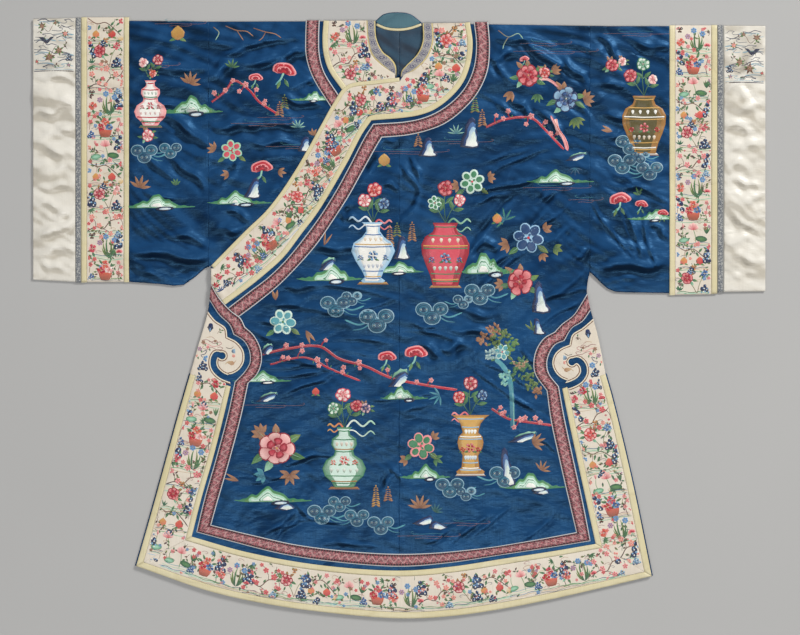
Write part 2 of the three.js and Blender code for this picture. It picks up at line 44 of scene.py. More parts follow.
# Sizes are in millimetres until a mesh is made. Left and right are the wearer's, so left lies at +X.
coat = {
    "silkWall": 1.5,
    "facingWall": 1.0,
    "bindingWall": 1.3,
    "ribbonWall": 0.8,
    "seamGap": 0.3,
    "silkSpacing": 4.1,
    "facingSpacing": 4.5,
    "backSpacing": 13.0,
    "foldRadius": 4.5,
    "outerBindingShare": 0.13,
    "innerBindingShare": 0.885,
    "closingBindingWidth": 7.0,
    "collarBindingWidth": 9.5,
    "hookWidth": 10.5,
    "backPeek": 2.5,
    "underlapWidth": 42.0,
    "sleeveSeam": 342.6,
    "sleeveFold": 2.4,  # the height at which a sleeve's folded edge turns, and a body half's
    "bodyFold": 2.6,
}
frontLevel = coat["silkWall"] + coat["seamGap"]


# Lines

def smooth(rows, step=3.0):
    # a round curve through the rows, sampled at even steps
    p = [np.array(r, float) for r in rows]
    p = [2 * p[0] - p[1]] + p + [2 * p[-1] - p[-2]]
    dense = []
    for a, b, c, d in zip(p, p[1:], p[2:], p[3:]):
        t1, t2, t3 = [max(float(((v - u) ** 2).sum()) ** 0.25, 1e-4) for u, v in ((a, b), (b, c), (c, d))]
        m1 = ((b - a) / t1 - (c - a) / (t1 + t2) + (c - b) / t2) * t2
        m2 = ((c - b) / t2 - (d - b) / (t2 + t3) + (d - c) / t3) * t2
        t = np.linspace(0, 1, 24, endpoint=False)[:, None]
        dense.append(b + m1 * t + (3 * (c - b) - 2 * m1 - m2) * t ** 2 + (m1 + m2 - 2 * (c - b)) * t ** 3)
    dense = np.vstack(dense + [p[-2][None]])
    return evenly(dense, max(2, math.ceil(lengthOf(dense) / step)))


def lengthOf(line):
    return float(np.hypot(*np.diff(line, axis=0).T).sum())


def evenly(line, count):
    # the line with count equal steps
    line = np.asarray(line, float)
    run = np.concatenate([[0], np.cumsum(np.hypot(*np.diff(line, axis=0).T))])
    at = np.linspace(0, run[-1], count + 1)
    return np.stack([np.interp(at, run, line[:, 0]), np.interp(at, run, line[:, 1])], 1)


def shifted(line, distance):
    # the line moved sideways, to its left for a positive distance
    line = np.asarray(line, float)
    keep = np.concatenate([[True], np.hypot(*np.diff(line, axis=0).T) > 0.01])
    line = line[keep]
    d = np.diff(line, axis=0)
    d /= np.hypot(d[:, 0], d[:, 1])[:, None]
    n = np.stack([-d[:, 1], d[:, 0]], 1)
    before, after = np.vstack([n[:1], n]), np.vstack([n, n[-1:]])
    mean = before + after
    mean /= np.maximum(np.hypot(mean[:, 0], mean[:, 1]), 1e-6)[:, None]
    return line + mean * (distance / np.maximum((mean * after).sum(1), 0.5))[:, None]


def heading(turn):
    # one step in a direction given in degrees
    return math.cos(math.radians(turn)), math.sin(math.radians(turn))


def away(x, y, turn, reach):
    c, s = heading(turn)
    return x + reach * c, y + reach * s


def swung(x, y, turn, points):
    # points turned by some degrees and moved to x, y
    c, s = heading(turn)
    return [(x + a * c - b * s, y + a * s + b * c) for a, b in points]


def between(first, second, share, count=90):
    a, b = evenly(first, count), evenly(second, count)
    return a + (b - a) * share


def joined(*lines):
    return np.vstack([np.asarray(line, float).reshape(-1, 2) for line in lines])


def closed(outline):
    # without repeated points
    outline = np.asarray(outline, float)
    gap = np.hypot(*(outline - np.roll(outline, 1, axis=0)).T)
    return outline[gap > 0.02]


def areaOf(outline):
    x, y = np.asarray(outline, float).T
    return abs(float(np.dot(x, np.roll(y, -1)) - np.dot(y, np.roll(x, -1)))) / 2


def insideOf(outline, x, y):
    inside = np.zeros(x.shape, bool)
    a = np.asarray(outline, float)
    b = np.roll(a, -1, axis=0)
    for (x1, y1), (x2, y2) in zip(a, b):
        if y1 == y2:
            continue
        crosses = (y1 > y) != (y2 > y)
        inside ^= crosses & (x < (x2 - x1) * (y - y1) / (y2 - y1) + x1)
    return inside


def distanceTo(line, x, y):
    best = np.full(x.shape, 1e9)
    for (ax, ay), (bx, by) in zip(line, line[1:]):
        run = max((bx - ax) ** 2 + (by - ay) ** 2, 1e-9)
        along = np.clip(((x - ax) * (bx - ax) + (y - ay) * (by - ay)) / run, 0, 1)
        best = np.minimum(best, np.hypot(x - ax - along * (bx - ax), y - ay - along * (by - ay)))
    return best


neck = {
    "rightEdge": smooth([(-43, 529), (-41, 498), (-29, 473), (-15, 462), (-6, 448), (-5.5, 428)]),
    "leftEdge": smooth([(42, 525), (42, 492), (33, 470), (12, 448), (4, 438), (3, 427.5)]),
    "rightRibbon": smooth([(-59, 530), (-57, 498), (-50, 469), (-36, 453), (-20, 441), (-8, 434)]),
    "leftRibbon": smooth([(60, 525), (61, 492), (51, 464), (28, 441), (8, 432)]),
    "backEdge": smooth([(-43, 529), (-29, 541), (-9, 545), (19, 542), (35, 531), (42, 525)]),
    "backSeam": smooth([(-41, 523), (-24, 516), (-2, 513.5), (19, 516), (40, 523)]),
}
closingEdge = joined(
    smooth([(0, 427), (-41, 422), (-87, 416), (-101, 407), (-121, 377)]),
    smooth([(-121, 377), (-190, 255), (-236, 191), (-278, 150), (-338, 89)])[1:])
collarFacingParts = [
    smooth([(127, 527), (132, 488), (127, 449), (114, 417), (92, 391), (64, 370), (38, 360), (9, 355),
            (-50, 350)]),
    smooth([(-50, 350), (-67, 325), (-93, 275), (-145, 187), (-175, 147), (-208, 104), (-241, 74), (-272, 49),
            (-314, 18)]),
]
collarFacingEdge = joined(collarFacingParts[0], collarFacingParts[1][1:])
collarRibbon = {
    "inner": [
        smooth([(134, 527), (138, 487), (134, 447), (120, 413), (97, 386), (67, 365), (40, 354), (10, 348),
                (-47, 344)]),
        smooth([(-47, 344), (-62, 321), (-88, 271), (-112, 227), (-140, 182), (-169, 142), (-204, 99),
                (-236, 68), (-269, 43), (-308, 13)])],
    "outer": [
        smooth([(160, 527), (163, 485), (159, 439), (141, 399), (114, 368), (82, 344), (49, 331), (14, 323),
                (-31, 319)]),
        smooth([(-31, 319), (-39, 306), (-66, 258), (-91, 213), (-120, 168), (-149, 126), (-186, 84),
                (-219, 51), (-252, 24), (-292, -6)])],
}
rightCollar = {
    "facing": smooth([(-136, 530), (-138, 498), (-136, 470), (-127, 441), (-99, 400)]),
    "ribbonInner": smooth([(-143, 530), (-144, 498), (-143, 469), (-135, 438), (-105, 390)]),
    "ribbonOuter": smooth([(-168, 530), (-169, 497), (-168, 466), (-157, 430), (-118, 366)]),
}
sides = {
    "right": {
        "toward": -1,
        "sideEdge": smooth([(-338, 89), (-339, 45), (-344, 7), (-363, -60), (-376, -106)]),
        "slitEdge": smooth([(-376, -106), (-397, -179), (-441, -339), (-473, -451)]),
        "facingHead": joined(
            smooth([(-344, 7), (-331, -9), (-312, -23), (-309, -39)]),
            smooth([(-309, -39), (-292, -48), (-280, -64), (-279, -83), (-287, -97), (-298, -104.4),
                    (-308, -107)])[1:]),
        "facingEdge": smooth([(-303, -128), (-313, -171), (-334, -254), (-355, -327), (-373, -398)]),
        "ribbonFacingSide": [
            smooth([(-341, 27), (-324, 1), (-305, -18), (-298, -35)]),
            smooth([(-298, -35), (-280, -46), (-270, -64), (-269, -85), (-278, -101), (-296, -120)]),
            smooth([(-296, -120), (-307, -172), (-329, -255), (-350, -328), (-365, -390)])],
        "ribbonBodySide": [
            smooth([(-338, 56), (-324, 32), (-301, 7), (-285, -5), (-277, -21)]),
            smooth([(-277, -21), (-262, -35), (-249, -60), (-247, -83), (-255, -106), (-271, -122)]),
            smooth([(-271, -122), (-283, -178), (-305, -262), (-326, -334), (-338, -377)])],
        "hook": smooth([(-318, -73), (-329, -71), (-334, -82), (-332, -95), (-321, -107), (-306, -114),
                        (-288, -119)], 2.0),
    },
    "left": {
        "toward": 1,
        "sideEdge": smooth([(342.6, 78), (338, 52), (338, 36), (345, 7), (357, -37), (371, -106)]),
        "slitEdge": smooth([(371, -106), (384, -152), (419, -298), (454, -469)]),
        "facingHead": joined(
            smooth([(349, -6), (329, -23), (311, -35), (306, -53)]),
            smooth([(306, -53), (290, -60), (279, -71), (275, -87), (281, -103), (291, -112.6),
                    (302, -117.4)])[1:]),
        "facingEdge": smooth([(293, -132), (303, -182), (319, -256), (337, -338), (353, -411)]),
        "ribbonFacingSide": [
            smooth([(344, 8), (329, -12), (311, -23), (297, -46)]),
            smooth([(297, -46), (281, -53), (271, -67), (266, -85), (269, -104), (287, -128)]),
            smooth([(287, -128), (297, -183), (313, -257), (331, -339), (344, -406)])],
        "ribbonBodySide": [
            smooth([(338, 39), (327, 21), (313, 0), (292, -16), (279, -30)]),
            smooth([(279, -30), (260, -41), (246, -62), (241, -85), (244, -106), (265, -136)]),
            smooth([(265, -136), (272, -188), (288, -262), (307, -344), (318, -390)])],
        "hook": smooth([(310, -84), (320, -81), (329, -88), (332, -102), (325, -115), (310, -124), (284, -131)],
                       2.0),
    },
}
hem = smooth([(-473, -451), (-342, -496), (-250, -517), (-143, -533), (0, -545), (93, -541), (185, -528),
              (277, -510), (369, -489), (454, -469)])
hemFacing = smooth([(-373, -398), (-273, -426), (-143, -449), (0, -459), (93, -452), (185, -438), (277, -424),
                    (353, -411)])
hemRibbon = {
    "outer": smooth([(-365, -390), (-305, -406), (-213, -429), (-122, -443), (0, -452), (93, -445), (185, -431),
                     (277, -417), (344, -406)]),
    "inner": smooth([(-338, -377), (-260, -396), (-168, -415), (0, -429), (139, -420), (231, -406),
                     (318, -390)]),
}
sleeves = {
    "right": {
        "toward": -1,
        # distance from the middle, top and bottom
        "silk": [(342.7, 528, 87), (350, 528, 84), (367, 528.5, 69), (387, 529, 55), (405, 529, 53),
                 (430, 529, 56), (485.7, 529.5, 60)],
        # name, from, to, top, top at the end, bottom, bottom at the end, extra thickness, slot
        "bands": [
            ("binding_inner", 486, 495, 536, 536, 59.5, 59.5, 0.5, "binding"),
            ("band", 495.3, 561.7, 536, 536, 60, 59.5, 0.2, "embroidered"),
            ("binding_outer", 562, 571.7, 536, 536, 59, 58.5, 0.5, "binding"),
            ("ribbon", 572, 582, 535, 535, 58.5, 59, 0.3, "blue_ribbon"),
            ("cuff", 582.3, 658.5, 534.5, 533, 60, 64, 0, "ivory")],
    },
    "left": {
        "toward": 1,
        "silk": [(342.7, 520.5, 78), (350, 520.5, 71), (364, 520.3, 57), (375, 520, 48), (389, 520, 42),
                 (410, 520, 41), (485.7, 520, 40)],
        "bands": [
            ("binding_inner", 486, 495.7, 521.5, 521.5, 36, 36, 0.5, "binding"),
            ("band", 496, 561, 521.5, 521.5, 36.5, 37.5, 0.2, "embroidered"),
            ("binding_outer", 561.3, 571.7, 522, 522, 38, 39, 0.5, "binding"),
            ("ribbon", 572, 583.7, 521.5, 521.5, 40.5, 41, 0.3, "blue_ribbon"),
            ("cuff", 584, 658.5, 521, 520.5, 42, 43, 0, "ivory")],
    },
}


def halfHem(toward):
    half = hem[hem[:, 0] * toward > 4]
    return half[::-1] if toward > 0 else half


def frontOutline():
    # the outer front, from the left side round to the closing edge
    left, right = sides["left"], sides["right"]
    return closed(joined(neck["leftEdge"][::-1], [(coat["sleeveSeam"], 520.5)], left["sideEdge"],
                         left["slitEdge"][1:], hem[::-1], right["slitEdge"][::-1], right["sideEdge"][::-1],
                         closingEdge[::-1]))


# Folds and creases of the front: middle, direction in degrees, length, width and height.
# The broad ones are rounded rises; the fine ones are a ridge with a trough on its shaded side.
folds = {
    "level": 3.0,  # how far the front floats over the back where nothing presses on it
    "edgeLevel": 0.3,
    "edgeShare": 0.25,  # how much of the folds is left at the coat's edge
    "edgeWidth": 15,
    "broadShare": 1.35,
    "fineShare": 1.35,
    "rippleShare": 1.8,
    "trimShare": 0.3,  # how much of a fine crease runs on through facings and ribbons
    "trimRipple": 0.75,  # how much of the ripple facings and ribbons take away
    "trimPress": 0.45,
    "trimWidth": 49,
    "roundUnder": 0.35,  # keeps hollows from reaching the back
    "softTop": 5,  # rises over this are flattened, by softReach at most
    "softReach": 6.5,
    "lapStart": 60,  # how far from the closing edge the overlap begins to sink to the body
    "lapRun": 110,
    "lightTurn": 48,
    # painted light and shade in the silk's colour: the shares of broad folds, fine creases and ripples in the
    # slopes, then the painted shade from fine creases and from slopes toward the light
    "slopeShares": (1.2, 0.6, 1.2),
    "creaseShade": 0.6,
    "slopeShade": 9,
    "upperFrom": -20,  # the upper half is more rumpled, with stronger painted light and shade and a little more painted shade
    "upperRun": 160,
    "upperRipple": 0.15,
    "upperShade": 0.35,
    "upperPaintedShade": 0.12,
    # length of the wave, direction, phase and height
    "ripples": [
        (71, 64, 0, 0.55), (47, 118, 2, 0.42), (93, 95, 4, 0.6), (33, 82, 1, 0.26), (41, 137, 3, 0.3),
        (25, 74, 5, 0.2), (29, 106, 6, 0.2), (21, 128, 7, 0.13), (18, 58, 8, 0.1)],
    "broad": [
        (-415, 105, 2, 190, 62, 3.0), (-420, 190, -38, 170, 58, 2.2), (-300, 430, 24, 190, 62, 2.6),
        (-235, 395, 14, 150, 58, 2.0), (-420, 430, -30, 170, 62, 2.2), (-330, 300, 30, 170, 66, 2.0),
        (-250, 300, -20, 120, 60, 1.6), (-625, 395, -6, 90, 58, 2.2), (-620, 150, 24, 100, 60, 2.4),
        (250, 470, -34, 170, 60, 2.8), (200, 420, -12, 140, 60, 2.0), (390, 430, -46, 180, 62, 2.2),
        (415, 110, -8, 180, 60, 3.2), (395, 190, -52, 200, 58, 2.4), (450, 250, -62, 200, 62, 2.0),
        (280, 200, 42, 240, 66, 2.8), (210, 240, 30, 220, 62, 2.0), (270, 95, 56, 170, 60, 2.6),
        (190, 110, 20, 190, 60, 2.0), (40, 180, 34, 180, 66, 1.8), (-60, 60, 8, 240, 62, 2.2),
        (-20, -10, -6, 300, 62, 2.4), (120, -60, 16, 240, 62, 2.0), (-160, -60, -14, 180, 60, 1.8),
        (60, -160, 12, 260, 70, 1.8), (-120, -230, 24, 200, 66, 1.6), (190, -350, 30, 190, 64, 2.0),
        (-190, -350, 34, 150, 60, 1.6), (620, 380, -40, 110, 60, 2.2), (622, 190, -30, 120, 60, 2.4),
        (-420, -300, 74, 150, 60, 1.2), (120, -500, 4, 220, 60, 1.0)],
    "fine": [
        (-395, 440, -2, 135, 20, 3), (-309, 440, 22, 109, 22, 4), (-224, 456, 16, 164, 20, 4),
        (-264, 489, 4, 214, 14, 2.5), (-294, 467, 22, 126, 14, 2.5), (-206, 457, 42, 91, 14, 2.5),
        (-390, 371, -5, 147, 16, 3.5), (-390, 332, -35, 124, 24, 5), (-289, 338, 6, 106, 22, 5),
        (-213, 339, -3, 86, 16, 3), (-222, 305, -2, 108, 18, 4.5), (-438, 266, -38, 91, 16, 2.5),
        (-381, 252, -41, 104, 18, 3), (-422, 210, -10, 91, 16, 3), (-303, 257, 54, 69, 12, 1.5),
        (-291, 179, -26, 62, 16, 3), (-305, 150, 0, 68, 18, 3), (-383, 136, -11, 85, 18, 3.5),
        (-416, 104, -7, 168, 22, 6), (-457, 74, -22, 71, 12, 2), (-386, 79, 13, 69, 12, 2),
        (-179, 380, -11, 92, 18, 4), (-170, 414, 18, 71, 14, 2.5), (-193, 344, -37, 45, 12, 1.5),
        (-215, 230, 37, 56, 12, 1.5), (-21, 308, 18, 59, 16, 3), (-54, 266, 54, 69, 14, 2.5),
        (-17, 230, -14, 46, 12, 2.5), (-102, 187, 41, 45, 14, 3), (-89, 171, -11, 46, 14, 3),
        (-116, 116, -2, 113, 20, 4), (-174, 47, 3, 79, 14, 3), (-192, 18, 16, 82, 14, 2.5),
        (-89, 41, -9, 228, 10, 1.5), (-80, 11, 11, 207, 10, 2), (-134, 3, -9, 250, 10, 1.5),
        (235, 488, -8, 136, 14, 3.5), (258, 464, -33, 120, 16, 4.5), (190, 462, 13, 69, 18, 3.5),
        (181, 437, -51, 72, 12, 2), (312, 437, -45, 80, 16, 4), (376, 479, -52, 74, 14, 3.5),
        (441, 485, -14, 111, 18, 4), (321, 480, -11, 80, 12, 2), (181, 374, -32, 106, 12, 2),
        (217, 373, -39, 58, 16, 3.5), (270, 342, -49, 89, 16, 4), (316, 378, -45, 95, 14, 2.5),
        (375, 410, -8, 80, 18, 3.5), (397, 351, -6, 90, 16, 3), (411, 320, 6, 102, 18, 3.5),
        (213, 275, 24, 136, 10, 2.5), (190, 284, 17, 117, 10, 2), (195, 232, 13, 173, 10, 3),
        (163, 207, 18, 71, 10, 2.5), (269, 214, 32, 72, 12, 2.5), (19, 243, -56, 81, 10, 2),
        (28, 259, -70, 65, 10, 2), (21, 197, 57, 75, 10, 2), (172, 171, 50, 176, 12, 2),
        (262, 167, 35, 218, 8, 1.5), (253, 185, 48, 135, 10, 1.5), (154, 122, 9, 68, 22, 4.5),
        (289, 144, 34, 81, 14, 2.5), (181, 95, 32, 106, 10, 2.5), (328, 107, 43, 40, 14, 3.5),
        (384, 147, -52, 163, 8, 2), (415, 153, -68, 121, 9, 2.5), (447, 131, -75, 128, 8, 2),
        (468, 149, -40, 53, 12, 2.5), (414, 122, -13, 51, 12, 2), (408, 85, 0, 153, 24, 6),
        (402, 61, 9, 102, 10, 2), (424, 225, -9, 137, 14, 2.5), (445, 221, -30, 112, 10, 2.5),
        (190, 81, 39, 144, 10, 2), (285, 41, 32, 147, 10, 2.5), (297, 36, 12, 110, 10, 2.5),
        (294, 5, 29, 116, 10, 2.5), (136, 2, -9, 114, 18, 3), (141, -36, -13, 104, 16, 3.5),
        (55, -65, -33, 54, 18, 4), (100, -60, 13, 69, 18, 4), (55, -37, -11, 138, 8, 2),
        (46, -22, -9, 68, 8, 2), (-62, -49, -4, 158, 8, 2), (-57, -72, -6, 124, 8, 1.5),
        (-134, -40, 27, 75, 8, 1.5), (-179, -91, -9, 182, 10, 2.5), (-165, -104, 8, 170, 10, 2.5),
        (-165, -128, 17, 130, 10, 2.5), (-134, -115, 20, 120, 9, 2), (-183, -91, 7, 147, 9, 2),
        (28, -148, 6, 113, 9, 2), (-48, -153, -4, 124, 9, 1.5), (-242, -40, -17, 117, 12, 2),
        (-224, -22, -17, 117, 12, 2), (195, -139, -31, 197, 8, 2), (225, -166, -28, 122, 8, 1.5),
        (190, -106, -29, 129, 8, 1.5), (235, -81, -45, 64, 10, 2), (-165, -261, 13, 104, 12, 3.5),
        (-242, -288, -11, 115, 8, 1.5), (-237, -299, 9, 102, 8, 1.5), (-138, -373, -6, 102, 8, 2),
        (-215, -378, 34, 81, 10, 2.5), (-201, -385, 36, 69, 9, 2), (-174, -355, -45, 48, 9, 2),
        (-24, -297, 59, 52, 9, 2), (-8, -286, -41, 41, 9, 2), (73, -398, 30, 78, 8, 2.5),
        (127, -387, 37, 112, 8, 2), (168, -373, 38, 128, 8, 1.5), (253, -382, 41, 120, 8, 1.5),
        (-89, -416, -3, 135, 10, 1.5), (28, -168, 13, 69, 9, 1.5), (271, -238, -37, 56, 9, 1.5),
        (-618, 422, -5, 96, 18, 3), (-618, 150, 21, 92, 20, 3.5), (-620, 226, 4, 80, 16, 2),
        (-608, 384, -18, 60, 20, 2), (-626, 362, 12, 74, 22, 2), (-612, 324, 14, 90, 22, 2.2),
        (-622, 294, -16, 96, 22, 2.2), (-602, 262, 10, 60, 18, 1.8), (-632, 196, -8, 56, 18, 1.8),
        (-606, 178, 24, 66, 18, 2), (-616, 112, 12, 88, 22, 2.2), (-628, 86, -14, 60, 18, 1.8),
        (621, 449, 52, 119, 18, 3.5), (618, 234, -15, 68, 16, 2.5), (618, 162, -30, 76, 18, 3),
        (612, 398, -12, 70, 22, 2), (628, 366, 16, 72, 20, 2.2), (610, 334, -18, 78, 22, 2.2),
        (624, 300, 10, 84, 22, 2.2), (606, 268, -8, 60, 20, 1.8), (632, 204, 20, 54, 18, 1.8),
        (612, 128, 14, 76, 22, 2.2), (626, 96, -16, 70, 20, 2), (612, 68, 8, 64, 18, 1.8)],
}


pitch = 2.0
mapX, mapY = np.arange(-676.0, 677.0, pitch), np.arange(-566.0, 567.0, pitch)
gridX, gridY = np.meshgrid(mapX, mapY)


def mask(outline):
    return insideOf(outline, gridX, gridY).astype(float)


def blurred(values, radius):
    # three running means along each axis
    n = max(1, int(round(radius / pitch)))
    for _ in range(3):
        for axis in (0, 1):
            pad = [(n, n) if a == axis else (0, 0) for a in (0, 1)]
            run = np.cumsum(np.pad(values, pad, mode="edge"), axis=axis)
            first = np.zeros_like(np.take(run, [0], axis))
            run = np.concatenate([first, run], axis)
            size = values.shape[axis]
            high = np.take(run, np.arange(2 * n + 1, 2 * n + 1 + size), axis)
            values = (high - np.take(run, np.arange(size), axis)) / (2 * n + 1)
    return values


def edgeMap():
    # 0 at the coat's outline and 1 inside it
    body = mask(closed(joined(frontOutline(), [(-5, 428)])))
    for side in sleeves.values():
        toward, last = side["toward"], side["silk"][-1]
        top = [(toward * x, t) for x, t, b in side["silk"]] + [(toward * 659, last[1])]
        low = [(toward * x, b) for x, t, b in side["silk"]] + [(toward * 659, last[2])]
        body = np.maximum(body, mask(joined([(0, 500)], [(0, 525)], top, low[::-1], [(0, 100)])))
    body = np.maximum(body, mask([(-343, 529), (-59, 530), (-40, 470), (0, 400), (0, 200), (-343, 88)]))
    return np.clip((blurred(body, folds["edgeWidth"]) - 0.5) * 2.2, 0, 1)


def trimMap():
    # 1 where facings and ribbons stiffen the silk
    outlines = [
        joined(*collarRibbon["outer"], joined(neck["leftRibbon"], closingEdge)[::-1]),
        joined(rightCollar["ribbonOuter"], [(-60, 400)], neck["rightRibbon"][::-1]),
        joined(hemRibbon["inner"], hem[::-1])]
    for side in sides.values():
        outlines.append(joined(*side["ribbonBodySide"], side["slitEdge"][::-1], side["sideEdge"][::-1]))
    reach = folds["trimWidth"]
    for x in (-534, 534):
        outlines.append([(x - reach, 0), (x + reach, 0), (x + reach, 560), (x - reach, 560)])
    trim = np.zeros_like(gridX)
    for outline in outlines:
        trim = np.maximum(trim, mask(outline))
    return np.clip(blurred(trim, 5) * 1.4, 0, 1)


def creaseSum(rows, fine):
    total = np.zeros_like(gridX)
    lightX, lightY = heading(folds["lightTurn"])
    for n, (x, y, turn, length, width, height) in enumerate(rows):
        reach = length / 2 + width
        i0, i1 = np.searchsorted(mapX, [x - reach, x + reach])
        j0, j1 = np.searchsorted(mapY, [y - reach, y + reach])
        dx, dy = gridX[j0:j1, i0:i1] - x, gridY[j0:j1, i0:i1] - y
        c, s = heading(turn)
        along, across = (dx * c + dy * s) / (length / 2), dy * c - dx * s
        if not fine:
            across = across / (width / 2)
            value = np.where(abs(across) < 1, np.cos(across * math.pi / 2) ** 2, 0)
            total[j0:j1, i0:i1] += height * value * np.clip(1 - along ** 2, 0, 1)
            continue
        facing = 1 if -s * lightX + c * lightY > 0 else -1
        bow = 0.075 * length * math.sin(2.4 * n + 1)
        wave = 0.2 * width * math.sin(1.7 * n)
        u = (across - bow * (along ** 2 - 0.35) - wave * np.sin(5 * along + n)) * facing / (width / 2)
        u = u / (1 - 0.35 * np.clip(abs(along), 0, 1))  # narrower toward both ends
        ends = np.clip(1 - along ** 2, 0, 1) ** 1.5 * (1 + 0.3 * np.sin(8 * along + 2 * n))
        profile = np.exp(-((u - 0.75) ** 2) * 1.5) - 0.7 * np.exp(-((u + 0.8) ** 2) * 1.3)
        total[j0:j1, i0:i1] += height * profile * ends
    return total


def rippleSum():
    # the unevenness between the creases: bent waves that come and go
    total = np.zeros_like(gridX)
    for wave, turn, phase, size in folds["ripples"]:
        c, s = heading(turn)
        warp = (13 * np.sin(gridX / 61 + phase) + 11 * np.sin(gridY / 47 - phase)
                + 6 * np.sin((gridX + gridY) / 29 + 2 * phase))
        patchX = np.sin(gridX / (83 + 9 * phase) + phase)
        patchY = np.sin(gridY / (71 + 7 * phase) + 2 * phase)
        patchy = np.clip(0.35 + 0.9 * patchX * patchY, 0, 1)
        run = (gridX * c + gridY * s + warp) * 2 * math.pi / wave + phase
        total += folds["rippleShare"] * size * patchy * np.sin(run)
    return total


def heightMaps():
    # the undersides of the under-front and of the closing front, and the light and shade painted into the
    # silk's colour at each place
    edge, trim = edgeMap(), trimMap()
    broad = creaseSum(folds["broad"], False) * folds["broadShare"]
    fine = creaseSum(folds["fine"], True) * folds["fineShare"]
    fine *= 1 - trim * (1 - folds["trimShare"])
    upper = np.clip((gridY - folds["upperFrom"]) / folds["upperRun"], 0, 1)
    ripple = rippleSum()
    ripple *= (1 - folds["trimRipple"] * trim) * (1 + folds["upperRipple"] * upper)
    level = folds["level"] - folds["edgeLevel"]
    level = folds["edgeLevel"] + level * edge * (1 - folds["trimPress"] * trim)
    rise = level + (broad + fine + ripple) * (folds["edgeShare"] + (1 - folds["edgeShare"]) * edge)
    rise = 0.5 * (rise + np.sqrt(rise ** 2 + folds["roundUnder"]))
    top, reach = folds["softTop"], folds["softReach"]
    rise = np.where(rise > top, top + reach * np.tanh((rise - top) / reach), rise)
    underMap = frontLevel + rise
    far = distanceTo(closingEdge[::4], gridX, gridY)
    share = np.clip((far - folds["lapStart"]) / folds["lapRun"], 0, 1)
    overMap = underMap + frontLevel * (1 - share * share * (3 - 2 * share))
    # painted light and shade: lighter where the folds slope toward the light and on crease ridges, darker where
    # they slope away, in crease troughs and over the upper half
    first, second, third = folds["slopeShares"]
    fallY, fallX = np.gradient(first * broad + second * fine + third * ripple, pitch)
    lightX, lightY = heading(folds["lightTurn"])
    lit = -(fallX * lightX + fallY * lightY)
    shade = (folds["creaseShade"] * fine + folds["slopeShade"] * lit) * (1 + folds["upperShade"] * upper)
    return {"under": underMap, "over": overMap, "shade": shade - folds["upperPaintedShade"] * upper}


maps = heightMaps()
print("folds and creases laid out")


def heightAt(name, x, y):
    x, y = np.asarray(x, float), np.asarray(y, float)
    grid = maps[name]
    u = np.clip((x - mapX[0]) / pitch, 0, len(mapX) - 1.001)
    v = np.clip((y - mapY[0]) / pitch, 0, len(mapY) - 1.001)
    i, j = u.astype(int), v.astype(int)
    u, v = u - i, v - j
    return ((grid[j, i] * (1 - u) + grid[j, i + 1] * u) * (1 - v)
            + (grid[j + 1, i] * (1 - u) + grid[j + 1, i + 1] * u) * v)


# Cloth meshes

meshing = {
    "edgeShare": 0.85,  # edges and rows against the spacing of the triangles
    "rowShare": 0.866,
    "rimClearance": 0.8,
    "sampleStep": 1.2,
    "edgeDip": 0.3,  # how far a cut edge dips, against the thickness
    "seamDip": 0.05,
    "underDip": 0.4,
    "leastWall": 0.15,
    "foldRims": (2.0, 3.6),
}


def triangulated(outline, cuts, spacing, rims):
    # an outline filled with even triangles, and finer ones along its rim
    outline = closed(outline)
    dense = []
    for a, b in zip(outline, np.roll(outline, -1, axis=0)):
        n = max(1, math.ceil(math.hypot(*(b - a)) / (spacing * meshing["edgeShare"])))
        dense += [a + (b - a) * k / n for k in range(n)]
    ring = np.array(dense)
    area = np.dot(ring[:, 0], np.roll(ring[:, 1], -1)) - np.dot(ring[:, 1], np.roll(ring[:, 0], -1))
    if area < 0:
        ring = ring[::-1]
    loops = [ring] + [np.asarray(cut, float) for cut in cuts]
    edges, start = [], 0
    for loop in loops:
        n = len(loop)
        edges += [(start + k, start + (k + 1) % n) for k in range(n)]
        start += n
    fixed = np.vstack(loops)
    samples = []
    for loop in loops:
        for a, b in zip(loop, np.roll(loop, -1, axis=0)):
            n = max(1, math.ceil(math.hypot(*(b - a)) / meshing["sampleStep"]))
            samples += [a + (b - a) * k / n for k in range(n)]
    tree = kdtree.KDTree(len(samples))
    for k, p in enumerate(samples):
        tree.insert((p[0], p[1], 0), k)
    tree.balance()

    def kept(points, clearance):
        points = points[insideOf(ring, points[:, 0], points[:, 1])]
        for cut in cuts:
            if len(points):
                points = points[~insideOf(cut, points[:, 0], points[:, 1])]
        return [p for p in points if tree.find((p[0], p[1], 0))[2] > clearance]

    inner = []
    for rim in rims:
        band = shifted(np.vstack([ring, ring[:1]]), rim)[:-1]
        inner += kept(band[:: max(1, int(rim / 1.5))], rim * meshing["rimClearance"])
    x0, y0 = ring.min(0)
    x1, y1 = ring.max(0)
    rows = np.arange(y0, y1, spacing * meshing["rowShare"])
    points = np.array([(x + (0.5 * spacing if k % 2 else 0), y)
                       for k, y in enumerate(rows) for x in np.arange(x0, x1 + spacing, spacing)])
    inner += kept(points, max(spacing * 0.5, max(rims, default=0) + spacing * 0.35))
    every = [Vector((p[0], p[1])) for p in list(fixed) + inner]
    found = delaunay_2d_cdt(every, edges, [], 0, 1e-5)
    flat = np.array([(p.x, p.y) for p in found[0]])
    faces = np.array([f for f in found[2] if len(f) == 3])
    middle = flat[faces].mean(1)
    good = insideOf(ring, middle[:, 0], middle[:, 1])
    for cut in cuts:
        good &= ~insideOf(cut, middle[:, 0], middle[:, 1])
    faces = faces[good]
    p = flat[faces]
    turn = np.cross(p[:, 1] - p[:, 0], p[:, 2] - p[:, 0])
    faces[turn < 0] = faces[turn < 0][:, ::-1]
    faces = faces[abs(turn) > 1e-4]
    used = np.unique(faces)
    renumber = np.full(len(flat), -1)
    renumber[used] = np.arange(len(used))
    return flat[used], renumber[faces]


